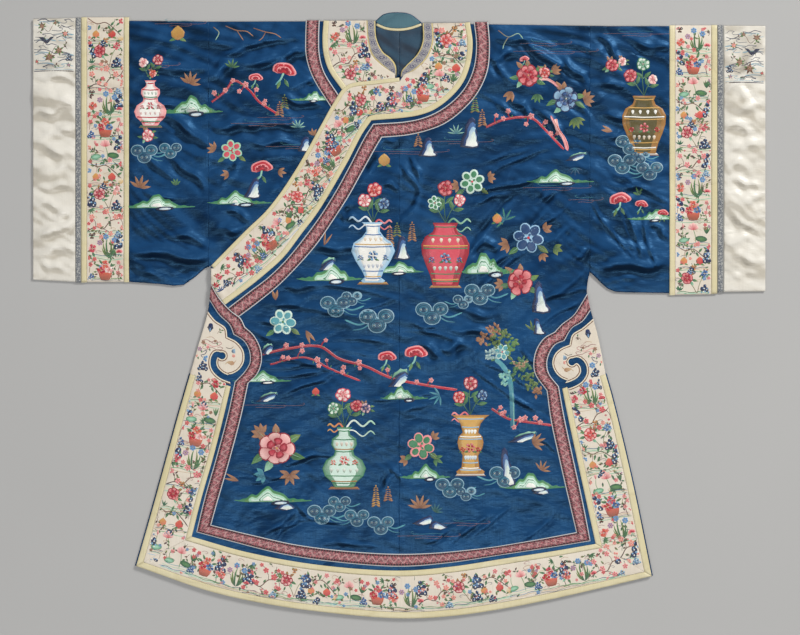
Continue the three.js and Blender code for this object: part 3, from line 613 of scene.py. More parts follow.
def clothLayer(outline, lowerAt, thickness, spacing, cuts=(), turned=(), middle=0.0, back=False, rims=(0.7,),
               sewn=()):
    # one layer of cloth; turned lines are folds where it rounds over to the height called middle
    radius, least = coat["foldRadius"], meshing["leastWall"]
    rims = tuple(rims) + (meshing["foldRims"] if len(turned) else ())
    flat, faces = triangulated(outline, cuts, spacing, rims)
    x, y = flat[:, 0], flat[:, 1]
    level = isinstance(lowerAt, (int, float))
    low = np.full(len(x), float(lowerAt)) if level else lowerAt(x, y)
    high = low + thickness
    n = len(flat)
    directed = set()
    for f in faces.tolist():
        directed.update(((f[0], f[1]), (f[1], f[2]), (f[2], f[0])))
    border = [(a, b) for a, b in directed if (b, a) not in directed]
    rim = np.unique(np.array(border).ravel())
    free = np.ones(len(rim), bool)
    if len(turned):
        near = np.min([distanceTo(line, x, y) for line in turned], axis=0)
        share = np.clip(near / radius, 0, 1)
        share = np.sqrt(1 - (1 - share) ** 2)
        if back:
            low = middle + (low - middle) * share
            high = np.where(share < 1, np.maximum(middle + (high - middle) * share, low + least), high)
        else:
            high = middle + (high - middle) * share
            low = np.where(share < 1, np.minimum(middle + (low - middle) * share, high - least), low)
        free = near[rim] > radius
    drop = np.where(free, meshing["edgeDip"], 0.0)
    if len(sewn):  # edges sewn flat to the next piece hardly dip
        near = np.min([distanceTo(line, x[rim], y[rim]) for line in sewn], axis=0)
        drop[near < 0.6] = meshing["seamDip"]
    high[rim] -= drop * thickness
    low[rim] += meshing["underDip"] * drop * thickness
    verts = np.vstack([np.column_stack([x, y, high]), np.column_stack([x, y, low])])
    allFaces = faces.tolist() + (faces[:, ::-1] + n).tolist()
    allFaces += [[b, a, a + n, b + n] for a, b in border]
    shade = np.zeros(n) if level else heightAt("shade", x, y)
    return {"verts": verts, "faces": allFaces, "uv": np.vstack([flat, flat]), "shade": np.tile(shade, 2)}


def stripLayer(firstParts, secondParts, lowerAt, thickness, crown=0.0, step=4.0, across=6, rimShare=0.04,
               nominal=None):
    # a narrow strip between two lines that run the same way, with its lengthwise and crosswise places as UV
    first, second, run, along = [], [], 0.0, []
    for k, (a, b) in enumerate(zip(firstParts, secondParts)):
        length = (lengthOf(a) + lengthOf(b)) / 2
        count = max(2, math.ceil(length / step))
        a, b = evenly(a, count), evenly(b, count)
        at = run + np.linspace(0, length, count + 1)
        keep = slice(0 if k == 0 else 1, None)
        first.append(a[keep])
        second.append(b[keep])
        along.append(at[keep])
        run += length
    first, second, along = np.vstack(first), np.vstack(second), np.concatenate(along)
    width = np.median(np.hypot(*(second - first).T))
    inner = np.linspace(rimShare, 1 - rimShare, across - 1)
    shares = np.concatenate([[0], inner, [1]])
    rows, columns = len(first), len(shares)
    grid = first[:, None, :] + (second - first)[:, None, :] * shares[None, :, None]
    x, y = grid[..., 0], grid[..., 1]
    base = lowerAt(x, y)
    profile = np.clip(1 - (2 * shares - 1) ** 4, 0, 1) * crown
    top = base + thickness + profile[None, :]
    top[:, [0, -1]] -= 0.4 * thickness
    top[[0, -1]] -= meshing["edgeDip"] * thickness
    flat = grid.reshape(-1, 2)
    n = rows * columns
    verts = np.vstack([np.column_stack([flat, top.ravel()]), np.column_stack([flat, base.ravel()])])
    index = np.arange(n).reshape(rows, columns)
    a, b, c, d = index[:-1, :-1], index[1:, :-1], index[1:, 1:], index[:-1, 1:]
    quads = np.stack([a, b, c, d], -1).reshape(-1, 4)
    p = flat[quads[0]]
    if np.cross(p[1] - p[0], p[2] - p[0]) < 0:
        quads = quads[:, ::-1]
    directed = set()
    for f in quads.tolist():
        directed.update(zip(f, f[1:] + f[:1]))
    border = [(a, b) for a, b in directed if (b, a) not in directed]
    faces = quads.tolist() + (quads[:, ::-1] + n).tolist() + [[b, a, a + n, b + n] for a, b in border]
    uv = np.column_stack([np.repeat(along, columns), np.tile(shares * (nominal or width), rows)])
    return {"verts": verts, "faces": faces, "uv": np.vstack([uv, uv]), "shade": np.zeros(2 * n),
            "size": (width, run)}


materials = {}


def makePiece(name, layers, material, colours=None):
    # layers in millimetres become one mesh in metres
    verts, faces, uvs, shades, start = [], [], [], [], 0
    for part in layers:
        verts.append(part["verts"])
        uvs.append(part["uv"])
        shades.append(part["shade"])
        faces += [[v + start for v in f] for f in part["faces"]]
        start += len(part["verts"])
    verts, uvs, shades = np.vstack(verts) / 1000, np.vstack(uvs) / 1000, np.concatenate(shades)
    mesh = bpy.data.meshes.new(name)
    mesh.from_pydata(verts.tolist(), [], faces)
    mesh.update()
    corners = np.zeros(len(mesh.loops), np.int64)
    mesh.loops.foreach_get("vertex_index", corners)
    layer = mesh.uv_layers.new(name="clothPlace")
    layer.data.foreach_set("uv", uvs[corners].astype(np.float32).ravel())
    # the painted shade and highlight of each point go with the mesh
    mesh.attributes.new("paintedShade", "FLOAT", "POINT").data.foreach_set("value", shades.astype(np.float32))
    if colours is not None:
        mesh.attributes.new("thread", "FLOAT_COLOR", "POINT").data.foreach_set(
            "color", np.asarray(colours, np.float32).ravel())
    mesh.polygons.foreach_set("use_smooth", [True] * len(mesh.polygons))
    mesh.materials.append(materials[material])
    piece = bpy.data.objects.new(name, mesh)
    bpy.context.scene.collection.objects.link(piece)
    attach(piece, "root")
    return piece


def flatSize(outline):
    # the smallest upright or turned box round a cut piece
    outline = np.asarray(outline, float)
    best = None
    for turn in range(0, 90, 3):
        c, s = heading(turn)
        u, v = outline[:, 0] * c + outline[:, 1] * s, outline[:, 1] * c - outline[:, 0] * s
        w, h = np.ptp(u), np.ptp(v)
        if best is None or w * h < best[0]:
            best = (w * h, min(w, h), max(w, h))
    return best[1], best[2]


clothPieces = []


def addCloth(node, layers, material, flat, area, restsOn):
    piece = makePiece(node + "_cloth", layers, material)
    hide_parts(node)
    clothPieces.append({"piece": piece, "flat": flat, "area": area, "restsOn": restsOn, "with": []})
    return clothPieces[-1]


# Finishes

def newFinish(name, colour, roughness, **values):
    mat = bpy.data.materials.new(name)
    mat.use_nodes = True
    shader = mat.node_tree.nodes["Principled BSDF"]
    shader.inputs["Base Color"].default_value = (*colour, 1)
    shader.inputs["Roughness"].default_value = roughness
    for socket, value in values.items():
        shader.inputs[socket.replace("_", " ")].default_value = value
    materials[name] = mat
    return mat.node_tree, shader


def addNode(tree, kind, **values):
    node = tree.nodes.new("ShaderNode" + kind)
    for key, value in values.items():
        if hasattr(node, key):
            setattr(node, key, value)
        else:
            node.inputs[key.replace("_", " ")].default_value = value
    return node


def colour(*rgb):
    # a colour named by its 0 to 255 screen values
    return tuple((v / 255 / 12.92) if v <= 10 else ((v / 255 + 0.055) / 1.055) ** 2.4 for v in rgb)


def stretchedNoise(tree, place, scale, detail=2.0):
    # noise whose grain is set by the three numbers of scale, in grains per metre
    mapping = addNode(tree, "Mapping")
    mapping.inputs["Scale"].default_value = scale
    tree.links.new(place, mapping.inputs["Vector"])
    noise = addNode(tree, "TexNoise", Scale=1.0, Detail=detail, Roughness=0.55)
    tree.links.new(mapping.outputs["Vector"], noise.inputs["Vector"])
    return noise.outputs["Fac"]


def maths(tree, operation, first, second=None):
    node = addNode(tree, "Math", operation=operation)
    for socket, value in zip(node.inputs, (first, second)):
        if value is None:
            continue
        if hasattr(value, "is_output"):
            tree.links.new(value, socket)
        else:
            socket.default_value = value
    return node.outputs[0]


def mixColours(tree, factor, first, second):
    mix = addNode(tree, "Mix", data_type="RGBA")
    sockets = [s for s in mix.inputs if s.type == "RGBA"]
    if hasattr(factor, "is_output"):
        tree.links.new(factor, mix.inputs[0])
    else:
        mix.inputs[0].default_value = factor
    for socket, value in zip(sockets, (first, second)):
        if hasattr(value, "is_output"):
            tree.links.new(value, socket)
        else:
            socket.default_value = (*value, 1)
    return [s for s in mix.outputs if s.type == "RGBA"][0]


def ramped(tree, value, low, high, start=0.0, end=1.0):
    # a value moved from low..high to start..end
    spread = addNode(tree, "MapRange")
    for key, number in zip(("From Min", "From Max", "To Min", "To Max"), (low, high, start, end)):
        spread.inputs[key].default_value = number
    tree.links.new(value, spread.inputs["Value"])
    return spread.outputs["Result"]


def bumped(tree, shader, layersOfHeight):
    # bumps on top of each other, each with its height in metres
    last = None
    for height, depth, strength in layersOfHeight:
        bump = addNode(tree, "Bump", Strength=strength, Distance=depth)
        tree.links.new(height, bump.inputs["Height"])
        if last is not None:
            tree.links.new(last, bump.inputs["Normal"])
        last = bump.outputs["Normal"]
    tree.links.new(last, shader.inputs["Normal"])


def makeSatin(name, main, deep, worn, roughness, wrinkle, **values):
    # satin whose creases, threads and wear come from stretched noise; painted shade darkens the noise creases,
    # and the mesh's painted shade values darken slopes turned from the light and lighten those facing it
    tree, shader = newFinish(name, main, roughness, **values)
    place = addNode(tree, "TexCoord").outputs["Object"]
    broad = stretchedNoise(tree, place, (7, 6, 7), 3)
    warp = stretchedNoise(tree, place, (1900, 26, 60), 2)
    weft = stretchedNoise(tree, place, (30, 900, 60), 1)
    crumple = stretchedNoise(tree, place, (24, 52, 40), 3)
    wobble = addNode(tree, "TexNoise", Scale=8.0, Detail=2.0)
    tree.links.new(place, wobble.inputs["Vector"])
    bent = addNode(tree, "VectorMath", operation="MULTIPLY_ADD")
    bent.inputs[1].default_value = (0.07, 0.07, 0)
    tree.links.new(wobble.outputs["Color"], bent.inputs[0])
    tree.links.new(place, bent.inputs[2])
    turned = addNode(tree, "Mapping")
    turned.inputs["Scale"].default_value = (7, 15, 9)
    turned.inputs["Rotation"].default_value = (0, 0, -0.5)
    tree.links.new(bent.outputs["Vector"], turned.inputs["Vector"])
    cells = addNode(tree, "TexVoronoi", feature="DISTANCE_TO_EDGE", Scale=1.0)
    tree.links.new(turned.outputs["Vector"], cells.inputs["Vector"])
    where = ramped(tree, stretchedNoise(tree, place, (9, 12, 9), 1), 0.42, 0.6)
    sharp = maths(tree, "MULTIPLY", ramped(tree, cells.outputs["Distance"], 0, 0.09, 1, 0), where)
    paintedShade = addNode(tree, "Attribute", attribute_name="paintedShade").outputs["Fac"]
    first = mixColours(tree, ramped(tree, broad, 0.35, 0.7), main, worn)
    second = mixColours(tree, ramped(tree, warp, 0.35, 0.8, 0, 0.35), first, deep)
    # painted shade darkens the colour along the sharp crease lines
    lined = mixColours(tree, maths(tree, "MULTIPLY", sharp, 0.3 * wrinkle), second, deep)
    # painted shade from the mesh values darkens troughs and slopes turned from the light
    third = mixColours(tree, ramped(tree, paintedShade, -0.1, -1.9, 0, 0.88), lined, deep)
    # painted highlight from the mesh values lightens ridges and slopes facing the light
    fourth = mixColours(tree, ramped(tree, paintedShade, 0.15, 2.1, 0, 0.72), third, worn)
    tree.links.new(fourth, shader.inputs["Base Color"])
    rough = ramped(tree, warp, 0.3, 0.75, roughness - 0.05, roughness + 0.09)
    tree.links.new(rough, shader.inputs["Roughness"])
    bumped(tree, shader, [(crumple, 0.0042 * wrinkle, 0.6), (sharp, -0.0016 * wrinkle, 0.6),
                                  (weft, 0.00012, 0.25), (warp, 0.00016, 0.35)])


# each silk's colour, its dark colour for thread streaks and for painted shade, its lighter colour for wear and
# for painted highlight, its roughness and how wrinkled it is
satins = {
    "blueSatin": {"main": colour(5, 33, 68), "deep": colour(2, 12, 32), "worn": colour(24, 66, 110),
                  "roughness": 0.42, "wrinkle": 1.0, "Sheen_Weight": 0.05, "Sheen_Roughness": 0.4,
                  "Sheen_Tint": (0.4, 0.7, 1, 1), "Anisotropic": 0.3, "Specular_IOR_Level": 0.65,
                  "Specular_Tint": (0.2, 0.55, 1, 1)},
    "ivorySatin": {"main": colour(222, 216, 203), "deep": colour(188, 180, 164), "worn": colour(231, 226, 215),
                   "roughness": 0.38, "wrinkle": 1.2, "Sheen_Weight": 0.2},
    "creamSatin": {"main": colour(220, 208, 190), "deep": colour(192, 178, 158), "worn": colour(229, 219, 203),
                   "roughness": 0.5, "wrinkle": 0.6, "Sheen_Weight": 0.15},
    "yellowSatin": {"main": colour(214, 202, 158), "deep": colour(184, 168, 120), "worn": colour(222, 212, 176),
                    "roughness": 0.46, "wrinkle": 0.7, "Sheen_Weight": 0.2},
    "tealLining": {"main": colour(20, 53, 77), "deep": colour(11, 33, 52), "worn": colour(32, 70, 92),
                   "roughness": 0.6, "wrinkle": 1.2, "Sheen_Weight": 0.2},
    "tealFacing": {"main": colour(62, 102, 116), "deep": colour(40, 74, 88), "worn": colour(78, 118, 128),
                   "roughness": 0.6, "wrinkle": 1.0, "Sheen_Weight": 0.2},
}
for name, look in satins.items():
    makeSatin(name, **look)


def placeAlong(tree):
    # U runs along a ribbon and V across it, in metres
    uv = addNode(tree, "UVMap", uv_map="clothPlace").outputs["UV"]
    split = addNode(tree, "SeparateXYZ")
    tree.links.new(uv, split.inputs[0])
    return uv, split.outputs[0], split.outputs[1]


def makeRibbon(name, width, repeat, style, ground, flower, light, dark, edge, selvedge):
    # a woven ribbon: a vine, patches or round flowers along it, dotted edges and plain selvedges
    tree, shader = newFinish(name, ground, 0.62, Sheen_Weight=0.3)
    uv, along, across = placeAlong(tree)

    def sineOf(value, length):
        return maths(tree, "SINE", maths(tree, "MULTIPLY", value, 2 * math.pi / length))

    def mixed(value, low, high, first, second, start=0.0, end=1.0):
        return mixColours(tree, ramped(tree, value, low, high, start, end), first, second)

    offMiddle = maths(tree, "SUBTRACT", across, width / 2)
    centre = maths(tree, "ABSOLUTE", offMiddle)
    share = maths(tree, "DIVIDE", centre, width / 2)
    cell = addNode(tree, "TexVoronoi", Scale=1.0, voronoi_dimensions="2D")
    mapping = addNode(tree, "Mapping")
    mapping.inputs["Scale"].default_value = (2.6 / repeat, 2.6 / repeat, 1)
    tree.links.new(uv, mapping.inputs["Vector"])
    tree.links.new(mapping.outputs["Vector"], cell.inputs["Vector"])
    petals = ramped(tree, cell.outputs["Distance"], 0.2, 0.4)
    speck = stretchedNoise(tree, uv, (900, 900, 1), 1)
    base = mixColours(tree, petals, flower, ground)
    if style == "vine":
        sway = maths(tree, "MULTIPLY", sineOf(along, repeat), width * 0.17)
        offVine = maths(tree, "ABSOLUTE", maths(tree, "SUBTRACT", offMiddle, sway))
        base = mixed(offVine, width * 0.03, width * 0.12, base, light, 0.5, 0)
    if style == "rosette":
        turns = maths(tree, "FRACT", maths(tree, "DIVIDE", along, repeat))
        run = maths(tree, "MULTIPLY", maths(tree, "SUBTRACT", turns, 0.5), repeat)
        squares = [maths(tree, "POWER", value, 2.0) for value in (run, centre)]
        far = maths(tree, "SQRT", maths(tree, "ADD", *squares))
        flowerHead = mixed(sineOf(far, width * 0.21), -0.3, 0.5, flower, ground)
        base = mixed(far, width * 0.33, width * 0.38, flowerHead, ground)
    base = mixed(speck, 0.55, 0.62, base, light, 0, 0.85)
    base = mixed(speck, 0.42, 0.36, base, dark, 0, 0.7)
    if style == "vine":
        dotted = mixed(sineOf(along, 0.005), 0.3, 0.7, dark, flower, 0, 0.5)
        base = mixed(share, 0.54, 0.58, base, dotted)
        base = mixed(share, 0.82, 0.84, base, ground)
    base = mixed(share, *selvedge, base, edge)
    tree.links.new(base, shader.inputs["Base Color"])
    twill = sineOf(maths(tree, "ADD", along, across), 0.0011)
    bumped(tree, shader, [(petals, 0.0004, 0.5), (speck, 0.0003, 0.4), (twill, 0.0001, 0.3)])


# widths and repeats in metres
ribbons = {
    "redRibbon": {"width": 0.0255, "repeat": 0.016, "style": "vine", "ground": colour(108, 40, 52),
                  "flower": colour(174, 82, 92), "light": colour(220, 176, 172), "dark": colour(22, 12, 20),
                  "edge": colour(196, 200, 200), "selvedge": (0.86, 0.88)},
    "blueRibbon": {"width": 0.0105, "repeat": 0.012, "style": "patches", "ground": colour(92, 97, 106),
                   "flower": colour(168, 168, 164), "light": colour(200, 199, 192), "dark": colour(42, 48, 62),
                   "edge": colour(136, 136, 132), "selvedge": (0.74, 0.78)},
    "neckRibbon": {"width": 0.0175, "repeat": 0.016, "style": "rosette", "ground": colour(150, 146, 146),
                   "flower": colour(52, 58, 104), "light": colour(196, 190, 180), "dark": colour(34, 36, 66),
                   "edge": colour(202, 184, 124), "selvedge": (0.74, 0.78)},
}
for name, look in ribbons.items():
    makeRibbon(name, **look)


def makeThread():
    # embroidery: the colour of each stitch area comes with the mesh, and UV runs along and across its stitches
    tree, shader = newFinish("thread", (0.8, 0.8, 0.8), 0.42, Sheen_Weight=0.3)
    paint = addNode(tree, "Attribute", attribute_name="thread").outputs["Color"]
    uv = addNode(tree, "UVMap", uv_map="clothPlace").outputs["UV"]
    strands = stretchedNoise(tree, uv, (120, 2400, 1), 2)
    shade = addNode(tree, "HueSaturation")
    tree.links.new(ramped(tree, strands, 0.3, 0.7, 0.82, 1.12), shade.inputs["Value"])
    tree.links.new(paint, shade.inputs["Color"])
    tree.links.new(shade.outputs["Color"], shader.inputs["Base Color"])
    tree.links.new(ramped(tree, strands, 0.3, 0.7, 0.34, 0.55), shader.inputs["Roughness"])
    bumped(tree, shader, [(strands, 0.0003, 0.6)])


makeThread()
print("finishes made")

# The coat's own cloth

chance = random.Random(7)
under = lambda x, y: heightAt("under", x, y)
over = lambda x, y: heightAt("over", x, y)
raised = lambda surface, by: (lambda x, y: surface(x, y) + by)
onUnder = raised(under, coat["silkWall"] + 0.25)
onOver = raised(over, coat["silkWall"] + 0.25)
seamX = coat["sleeveSeam"]
shoulder = {
    "left": np.array([(42, 525), (seamX, 520.5)], float),
    "right": np.array([(-43, 529), (-seamX, 528)], float),
}


def backLayer(side):
    row, toward = sides[side], sides[side]["toward"]
    half = neck["backEdge"][neck["backEdge"][:, 0] * toward > 1]
    if toward < 0:
        half = half[::-1]
    outline = closed(joined(
        [(toward * 0.15, 545)], half, [shoulder[side][1]], row["sideEdge"][:-1],
        shifted(row["slitEdge"], toward * coat["backPeek"]), halfHem(toward)[1:], [(toward * 0.15, -545)]))
    return outline, clothLayer(outline, 0, coat["silkWall"], coat["backSpacing"], turned=[shoulder[side]],
                               middle=coat["bodyFold"], back=True)


centreSeam = np.array([(0, 440), (0, -560)], float)
armSeam = {"left": np.array([(seamX, 530), (seamX, 60)]), "right": np.array([(-seamX, 540), (-seamX, 70)])}


def addHalves():
    left = sides["left"]
    outline = closed(joined(
        neck["leftEdge"][::-1], shoulder["left"][1:], left["sideEdge"], left["slitEdge"][1:],
        halfHem(1)[1:], [(0.05, -545)], [(0.05, 427.5)]))
    front = clothLayer(outline, over, coat["silkWall"], coat["silkSpacing"], sewn=[centreSeam, armSeam["left"]],
                       turned=[shoulder["left"], left["sideEdge"]], middle=coat["bodyFold"])
    backCut, back = backLayer("left")
    addCloth("coat_half_left", [front, back], "blueSatin", (476, 2085),
             areaOf(outline) + areaOf(backCut), [])

    edge = shifted(closingEdge[::4], coat["underlapWidth"])
    shown = edge[(edge[:, 0] < -3) & (edge[:, 0] > -318) & (edge[:, 1] < 385)]
    outline = closed(joined(
        neck["rightEdge"], [(-4, 400)], shown, [(-337, 84), (-338, 89), (-seamX, 87)],
        shoulder["right"][1:]))
    front = clothLayer(outline, under, coat["silkWall"], coat["silkSpacing"], sewn=[armSeam["right"]],
                       turned=[shoulder["right"]], middle=coat["bodyFold"])
    backCut, back = backLayer("right")
    addCloth("coat_half_right", [front, back], "blueSatin", (490, 1510),
             areaOf(outline) + areaOf(backCut), [])

    right = sides["right"]
    outline = closed(joined(
        [(-0.05, 427)], closingEdge[1:], right["sideEdge"][1:], right["slitEdge"][1:], halfHem(-1)[1:],
        [(-0.05, -545)]))
    layer = clothLayer(outline, over, coat["silkWall"], coat["silkSpacing"], sewn=[centreSeam])
    addCloth("overlap_front", [layer], "blueSatin", (474, 975), areaOf(outline), ["coat_half_right"])


def addSleeves():
    for side, row in sleeves.items():
        toward = row["toward"]
        top = np.array([(toward * x, t) for x, t, b in row["silk"]], float)
        low = np.array([(toward * x, b) for x, t, b in row["silk"]], float)
        outline = joined(top, low[::-1])
        folded = {"turned": [top, low], "middle": coat["sleeveFold"]}
        front = clothLayer(outline, under, coat["silkWall"], coat["silkSpacing"], sewn=[armSeam[side]],
                           **folded)
        back = clothLayer(outline, 0, coat["silkWall"], coat["backSpacing"], back=True, **folded)
        addCloth("sleeve_" + side, [front, back], "blueSatin", (144, 972), 2 * areaOf(outline), [])
        looks = {"binding": "yellowSatin", "embroidered": "creamSatin", "blue_ribbon": "blueRibbon",
                 "ivory": "ivorySatin"}
        for name, x0, x1, t0, t1, b0, b1, extra, slotName in row["bands"]:
            top = np.array([(toward * x0, t0), (toward * x1, t1)], float)
            low = np.array([(toward * x0, b0), (toward * x1, b1)], float)
            outline, wall, middle = joined(top, low[::-1]), coat["silkWall"] + extra, coat["sleeveFold"]
            folded = {"turned": [top, low], "middle": middle}
            if slotName in ("binding", "blue_ribbon"):
                inner, outer = np.array([top[0], low[0]]), np.array([top[1], low[1]])
                front = stripLayer([inner], [outer], under, wall, crown=0.35, step=4.0)
                ends = front["verts"]
                near = np.minimum(abs(ends[:, 1] - t0), abs(ends[:, 1] - b0))
                share = np.sqrt(1 - (1 - np.clip(near / coat["foldRadius"], 0, 1)) ** 2)
                ends[:, 2] = middle + (ends[:, 2] - middle) * share
                back = clothLayer(outline, 0, coat["silkWall"], 8, back=True, **folded)
            else:
                front = clothLayer(outline, under, wall, coat["facingSpacing"], **folded)
                back = clothLayer(outline, 0, coat["silkWall"], coat["backSpacing"], back=True, **folded)
            width, length = max(x1 - x0, 10), 2 * (t0 - b0) + 2 * 3
            addCloth(f"sleeve_{name}_{side}", [front, back], looks[slotName], (width, length),
                     width * length * 0.98, [])


def strip(node, first, second, surface, wall, slotName, look, restsOn, crown=0.0, **more):
    layer = stripLayer(first, second, surface, wall, crown, **more)
    width, length = layer["size"]
    return addCloth(node, [layer], look, (max(width, 10), length), width * length, restsOn)


def addBinding(node, first, second, restsOn, surface=onOver, wall=coat["bindingWall"]):
    return strip(node, first, second, surface, wall, "binding", "yellowSatin", restsOn, 0.4)


def addRibbon(node, first, second, restsOn, surface=onOver, wide=True):
    slotName, look, width = ("red_ribbon", "redRibbon", 25.5) if wide else ("blue_ribbon", "neckRibbon", 17.5)
    return strip(node, first, second, surface, coat["ribbonWall"], slotName, look, restsOn, across=8,
                 nominal=width)


def addFacing(node, outline, restsOn, surface=onOver, cuts=(), flat=None):
    layer = clothLayer(outline, surface, coat["facingWall"], coat["facingSpacing"], cuts=cuts)
    return addCloth(node, [layer], "creamSatin", flat or flatSize(outline), areaOf(outline),
                    restsOn)


def addCollar():
    both = ["coat_half_left", "overlap_front"]
    closingInner = shifted(closingEdge, coat["closingBindingWidth"])
    facingInner = shifted(collarFacingEdge, -coat["collarBindingWidth"])
    slitRibbon = joined(*sides["right"]["ribbonBodySide"])
    slitCut = joined(slitRibbon[slitRibbon[:, 1] > -60], [(-420, -40), (-420, 60)])
    addBinding("binding_closing", [closingEdge], [closingInner], ["overlap_front"])
    outline = closed(joined(
        neck["leftRibbon"], closingInner[(closingInner[:, 0] < 1)], [(-338, 84), (-338.5, 50), (-331, 40)],
        facingInner[::-1]))
    addFacing("facing_collar_left", outline, both, cuts=[slitCut], flat=(74, 905))
    innerParts = [shifted(part, -coat["collarBindingWidth"]) for part in collarFacingParts]
    meet = (innerParts[0][-1] + innerParts[1][0]) / 2
    innerParts[0][-1] = innerParts[1][0] = meet
    addBinding("binding_collar_left", innerParts, collarFacingParts, both)
    addRibbon("ribbon_collar_left", collarRibbon["inner"], collarRibbon["outer"], both)
    addRibbon("neck_ribbon_left", [neck["leftEdge"]], [neck["leftRibbon"]], both[:1], wide=False)

    # the right collar goes in under the closing edge
    facing = rightCollar["facing"]
    bindingInner = shifted(facing, coat["collarBindingWidth"])
    outline = closed(joined(neck["rightRibbon"], [(-7, 424), (-60, 405), (-88, 392)], bindingInner[::-1]))
    below = ["coat_half_right"]
    addFacing("facing_collar_right", outline, below, onUnder)
    addBinding("binding_collar_right", [bindingInner], [facing], below, onUnder)
    addRibbon("ribbon_collar_right", [rightCollar["ribbonInner"]], [rightCollar["ribbonOuter"]], below, onUnder)
    addRibbon("neck_ribbon_right", [neck["rightEdge"]], [neck["rightRibbon"]], below, onUnder, wide=False)


def addNeckLining():
    level = frontLevel
    seam = neck["backSeam"]
    lower = shifted(seam, -2.6)
    for side, toward, edge in (("left", 1, "leftEdge"), ("right", -1, "rightEdge")):
        seamHalf = lower[(lower[:, 0] * toward > 1) & (abs(lower[:, 0]) < 38)]
        inside = shifted(neck[edge], -toward * 0.5)
        inside = inside[(inside[:, 1] < 520) & (inside[:, 1] > 430)]
        seamHalf = seamHalf if toward > 0 else seamHalf[::-1]
        outline = closed(joined(seamHalf, inside, [(toward * 0.15, 434), (toward * 0.15, 511)]))
        layer = clothLayer(outline, lambda x, y: level + 0.5 * np.sin(x / 9 + y / 23) ** 2, 1.0, 4)
        addCloth("neck_lining_" + side, [layer], "tealLining", flatSize(outline), areaOf(outline),
                 ["coat_half_" + side])
    addBinding("neck_binding_back", [shifted(seam, 2.2)], [shifted(seam, -2.2)], ["neck_lining_back"],
               lambda x, y: 0 * x + level, 1.1)
    top = shifted(neck["backEdge"], -1.2)
    top = top[top[:, 1] > 527]
    bottom = shifted(seam, 2.6)
    bottom = bottom[abs(bottom[:, 0]) < 38]
    outline = closed(joined(top, bottom[::-1]))
    layer = clothLayer(outline, level, 1.0, 4)
    addCloth("neck_lining_back", [layer], "tealFacing", flatSize(outline), areaOf(outline),
             ["coat_half_left", "coat_half_right"])


def oval(x, y, rx, ry, turn=0, count=10, uneven=0.0, start=0, end=360):
    c, s = heading(turn)
    angles = np.radians(np.linspace(start, end, count, endpoint=end - start < 360))
    radius = 1 + uneven * np.array([chance.uniform(-1, 1) for _ in angles])
    u, v = rx * np.cos(angles) * radius, ry * np.sin(angles) * radius
    return np.column_stack([x + u * c - v * s, y + u * s + v * c])


def hookCut(row, more=0.0):
    # the curled cut in a facing's scroll, with a round knob at its inner end
    line, half, toward = row["hook"], coat["hookWidth"] / 2 + more, row["toward"]
    start = math.degrees(math.atan2(*(line[0] - line[2])[::-1]))
    knobPlace, radius, turn = line[0] - (line[0] - line[2]) * 0.1, half + 1.2, 125 * toward
    knob = oval(*knobPlace, radius, radius, start, 15, 0, turn, -turn)
    return joined(shifted(line, -half * toward)[3:][::-1], knob, shifted(line, half * toward)[3:])


def addBorders():
    outerShare, innerShare = coat["outerBindingShare"], coat["innerBindingShare"]
    both = ["coat_half_left", "overlap_front"]
    lines = {
        "hem": (hem, hemFacing, both),
        "slit_right": (sides["right"]["slitEdge"], sides["right"]["facingEdge"], ["overlap_front"]),
        "slit_left": (sides["left"]["slitEdge"], sides["left"]["facingEdge"], ["coat_half_left"]),
    }
    for name, (edge, facing, below) in lines.items():
        outer, inner = [between(edge, facing, share, 200) for share in (outerShare, innerShare)]
        addBinding("binding_outer_" + name, [evenly(edge, 200)], [outer], below)
        addBinding("binding_inner_" + name, [inner], [evenly(facing, 200)], below)
    outer, inner = [between(hem, hemFacing, share) for share in (outerShare + 0.004, innerShare - 0.004)]
    addFacing("facing_hem", closed(joined(outer, inner[::-1])), both)
    addRibbon("ribbon_hem", [hemRibbon["outer"]], [hemRibbon["inner"]], both)
    for side, row in sides.items():
        toward = row["toward"]
        below = [both[0] if toward > 0 else both[1]]
        edgeTop = row["sideEdge"][row["sideEdge"][:, 1] < row["facingHead"][0][1] - 4]
        outer = shifted(between(row["slitEdge"], row["facingEdge"], outerShare), toward * -0.2)
        inner = shifted(between(row["slitEdge"], row["facingEdge"], innerShare), toward * 0.2)
        outline = closed(joined(row["facingHead"], [row["facingEdge"][0] + (0, 4), inner[0] + (0, 4)], inner,
                                outer[::-1], edgeTop[::-1]))
        row["outline"], row["channel"] = outline, hookCut(row)
        addFacing("facing_slit_" + side, outline, below, cuts=[row["channel"]])
        # the right one rises over the end of the closing edge
        lift = lambda x, y: onOver(x, y) + 1.5 * np.clip((y + 40) / 30, 0, 1)
        addRibbon("ribbon_slit_" + side, row["ribbonFacingSide"], row["ribbonBodySide"], below,
                  lift if toward < 0 else onOver)


addHalves()
addSleeves()
addCollar()
addNeckLining()
addBorders()
print("coat sewn:", len(clothPieces), "pieces")

# Embroidery

threads = {name: colour(*rgb) for name, rgb in {
    "red": (190, 34, 50), "crimson": (150, 26, 44), "pink": (208, 78, 92), "rose": (236, 150, 150),
    "blush": (244, 200, 192), "coral": (214, 106, 82), "white": (242, 240, 232), "cream": (232, 222, 196),
    "gold": (206, 160, 84), "ochre": (168, 118, 58), "tan": (176, 128, 92), "brown": (122, 80, 58),
    "dark": (62, 44, 40), "black": (30, 28, 32), "olive": (86, 76, 36), "green": (62, 128, 88),
    "leaf": (92, 138, 80), "moss": (122, 140, 62), "pine": (34, 78, 60), "mint": (160, 206, 176),
    "ice": (206, 228, 214), "teal": (84, 156, 166), "sea": (40, 104, 128), "deepSea": (20, 62, 92),
    "sky": (150, 190, 216), "blue": (66, 108, 164), "navy": (28, 44, 88), "ink": (22, 32, 60),
    "violet": (112, 92, 140), "grey": (150, 148, 144), "sand": (196, 170, 134), "mist": (160, 116, 112),
    "ground": (30, 68, 114), "plum": (118, 62, 66), "slate": (84, 86, 100), "fog": (132, 170, 186),
}.items()}
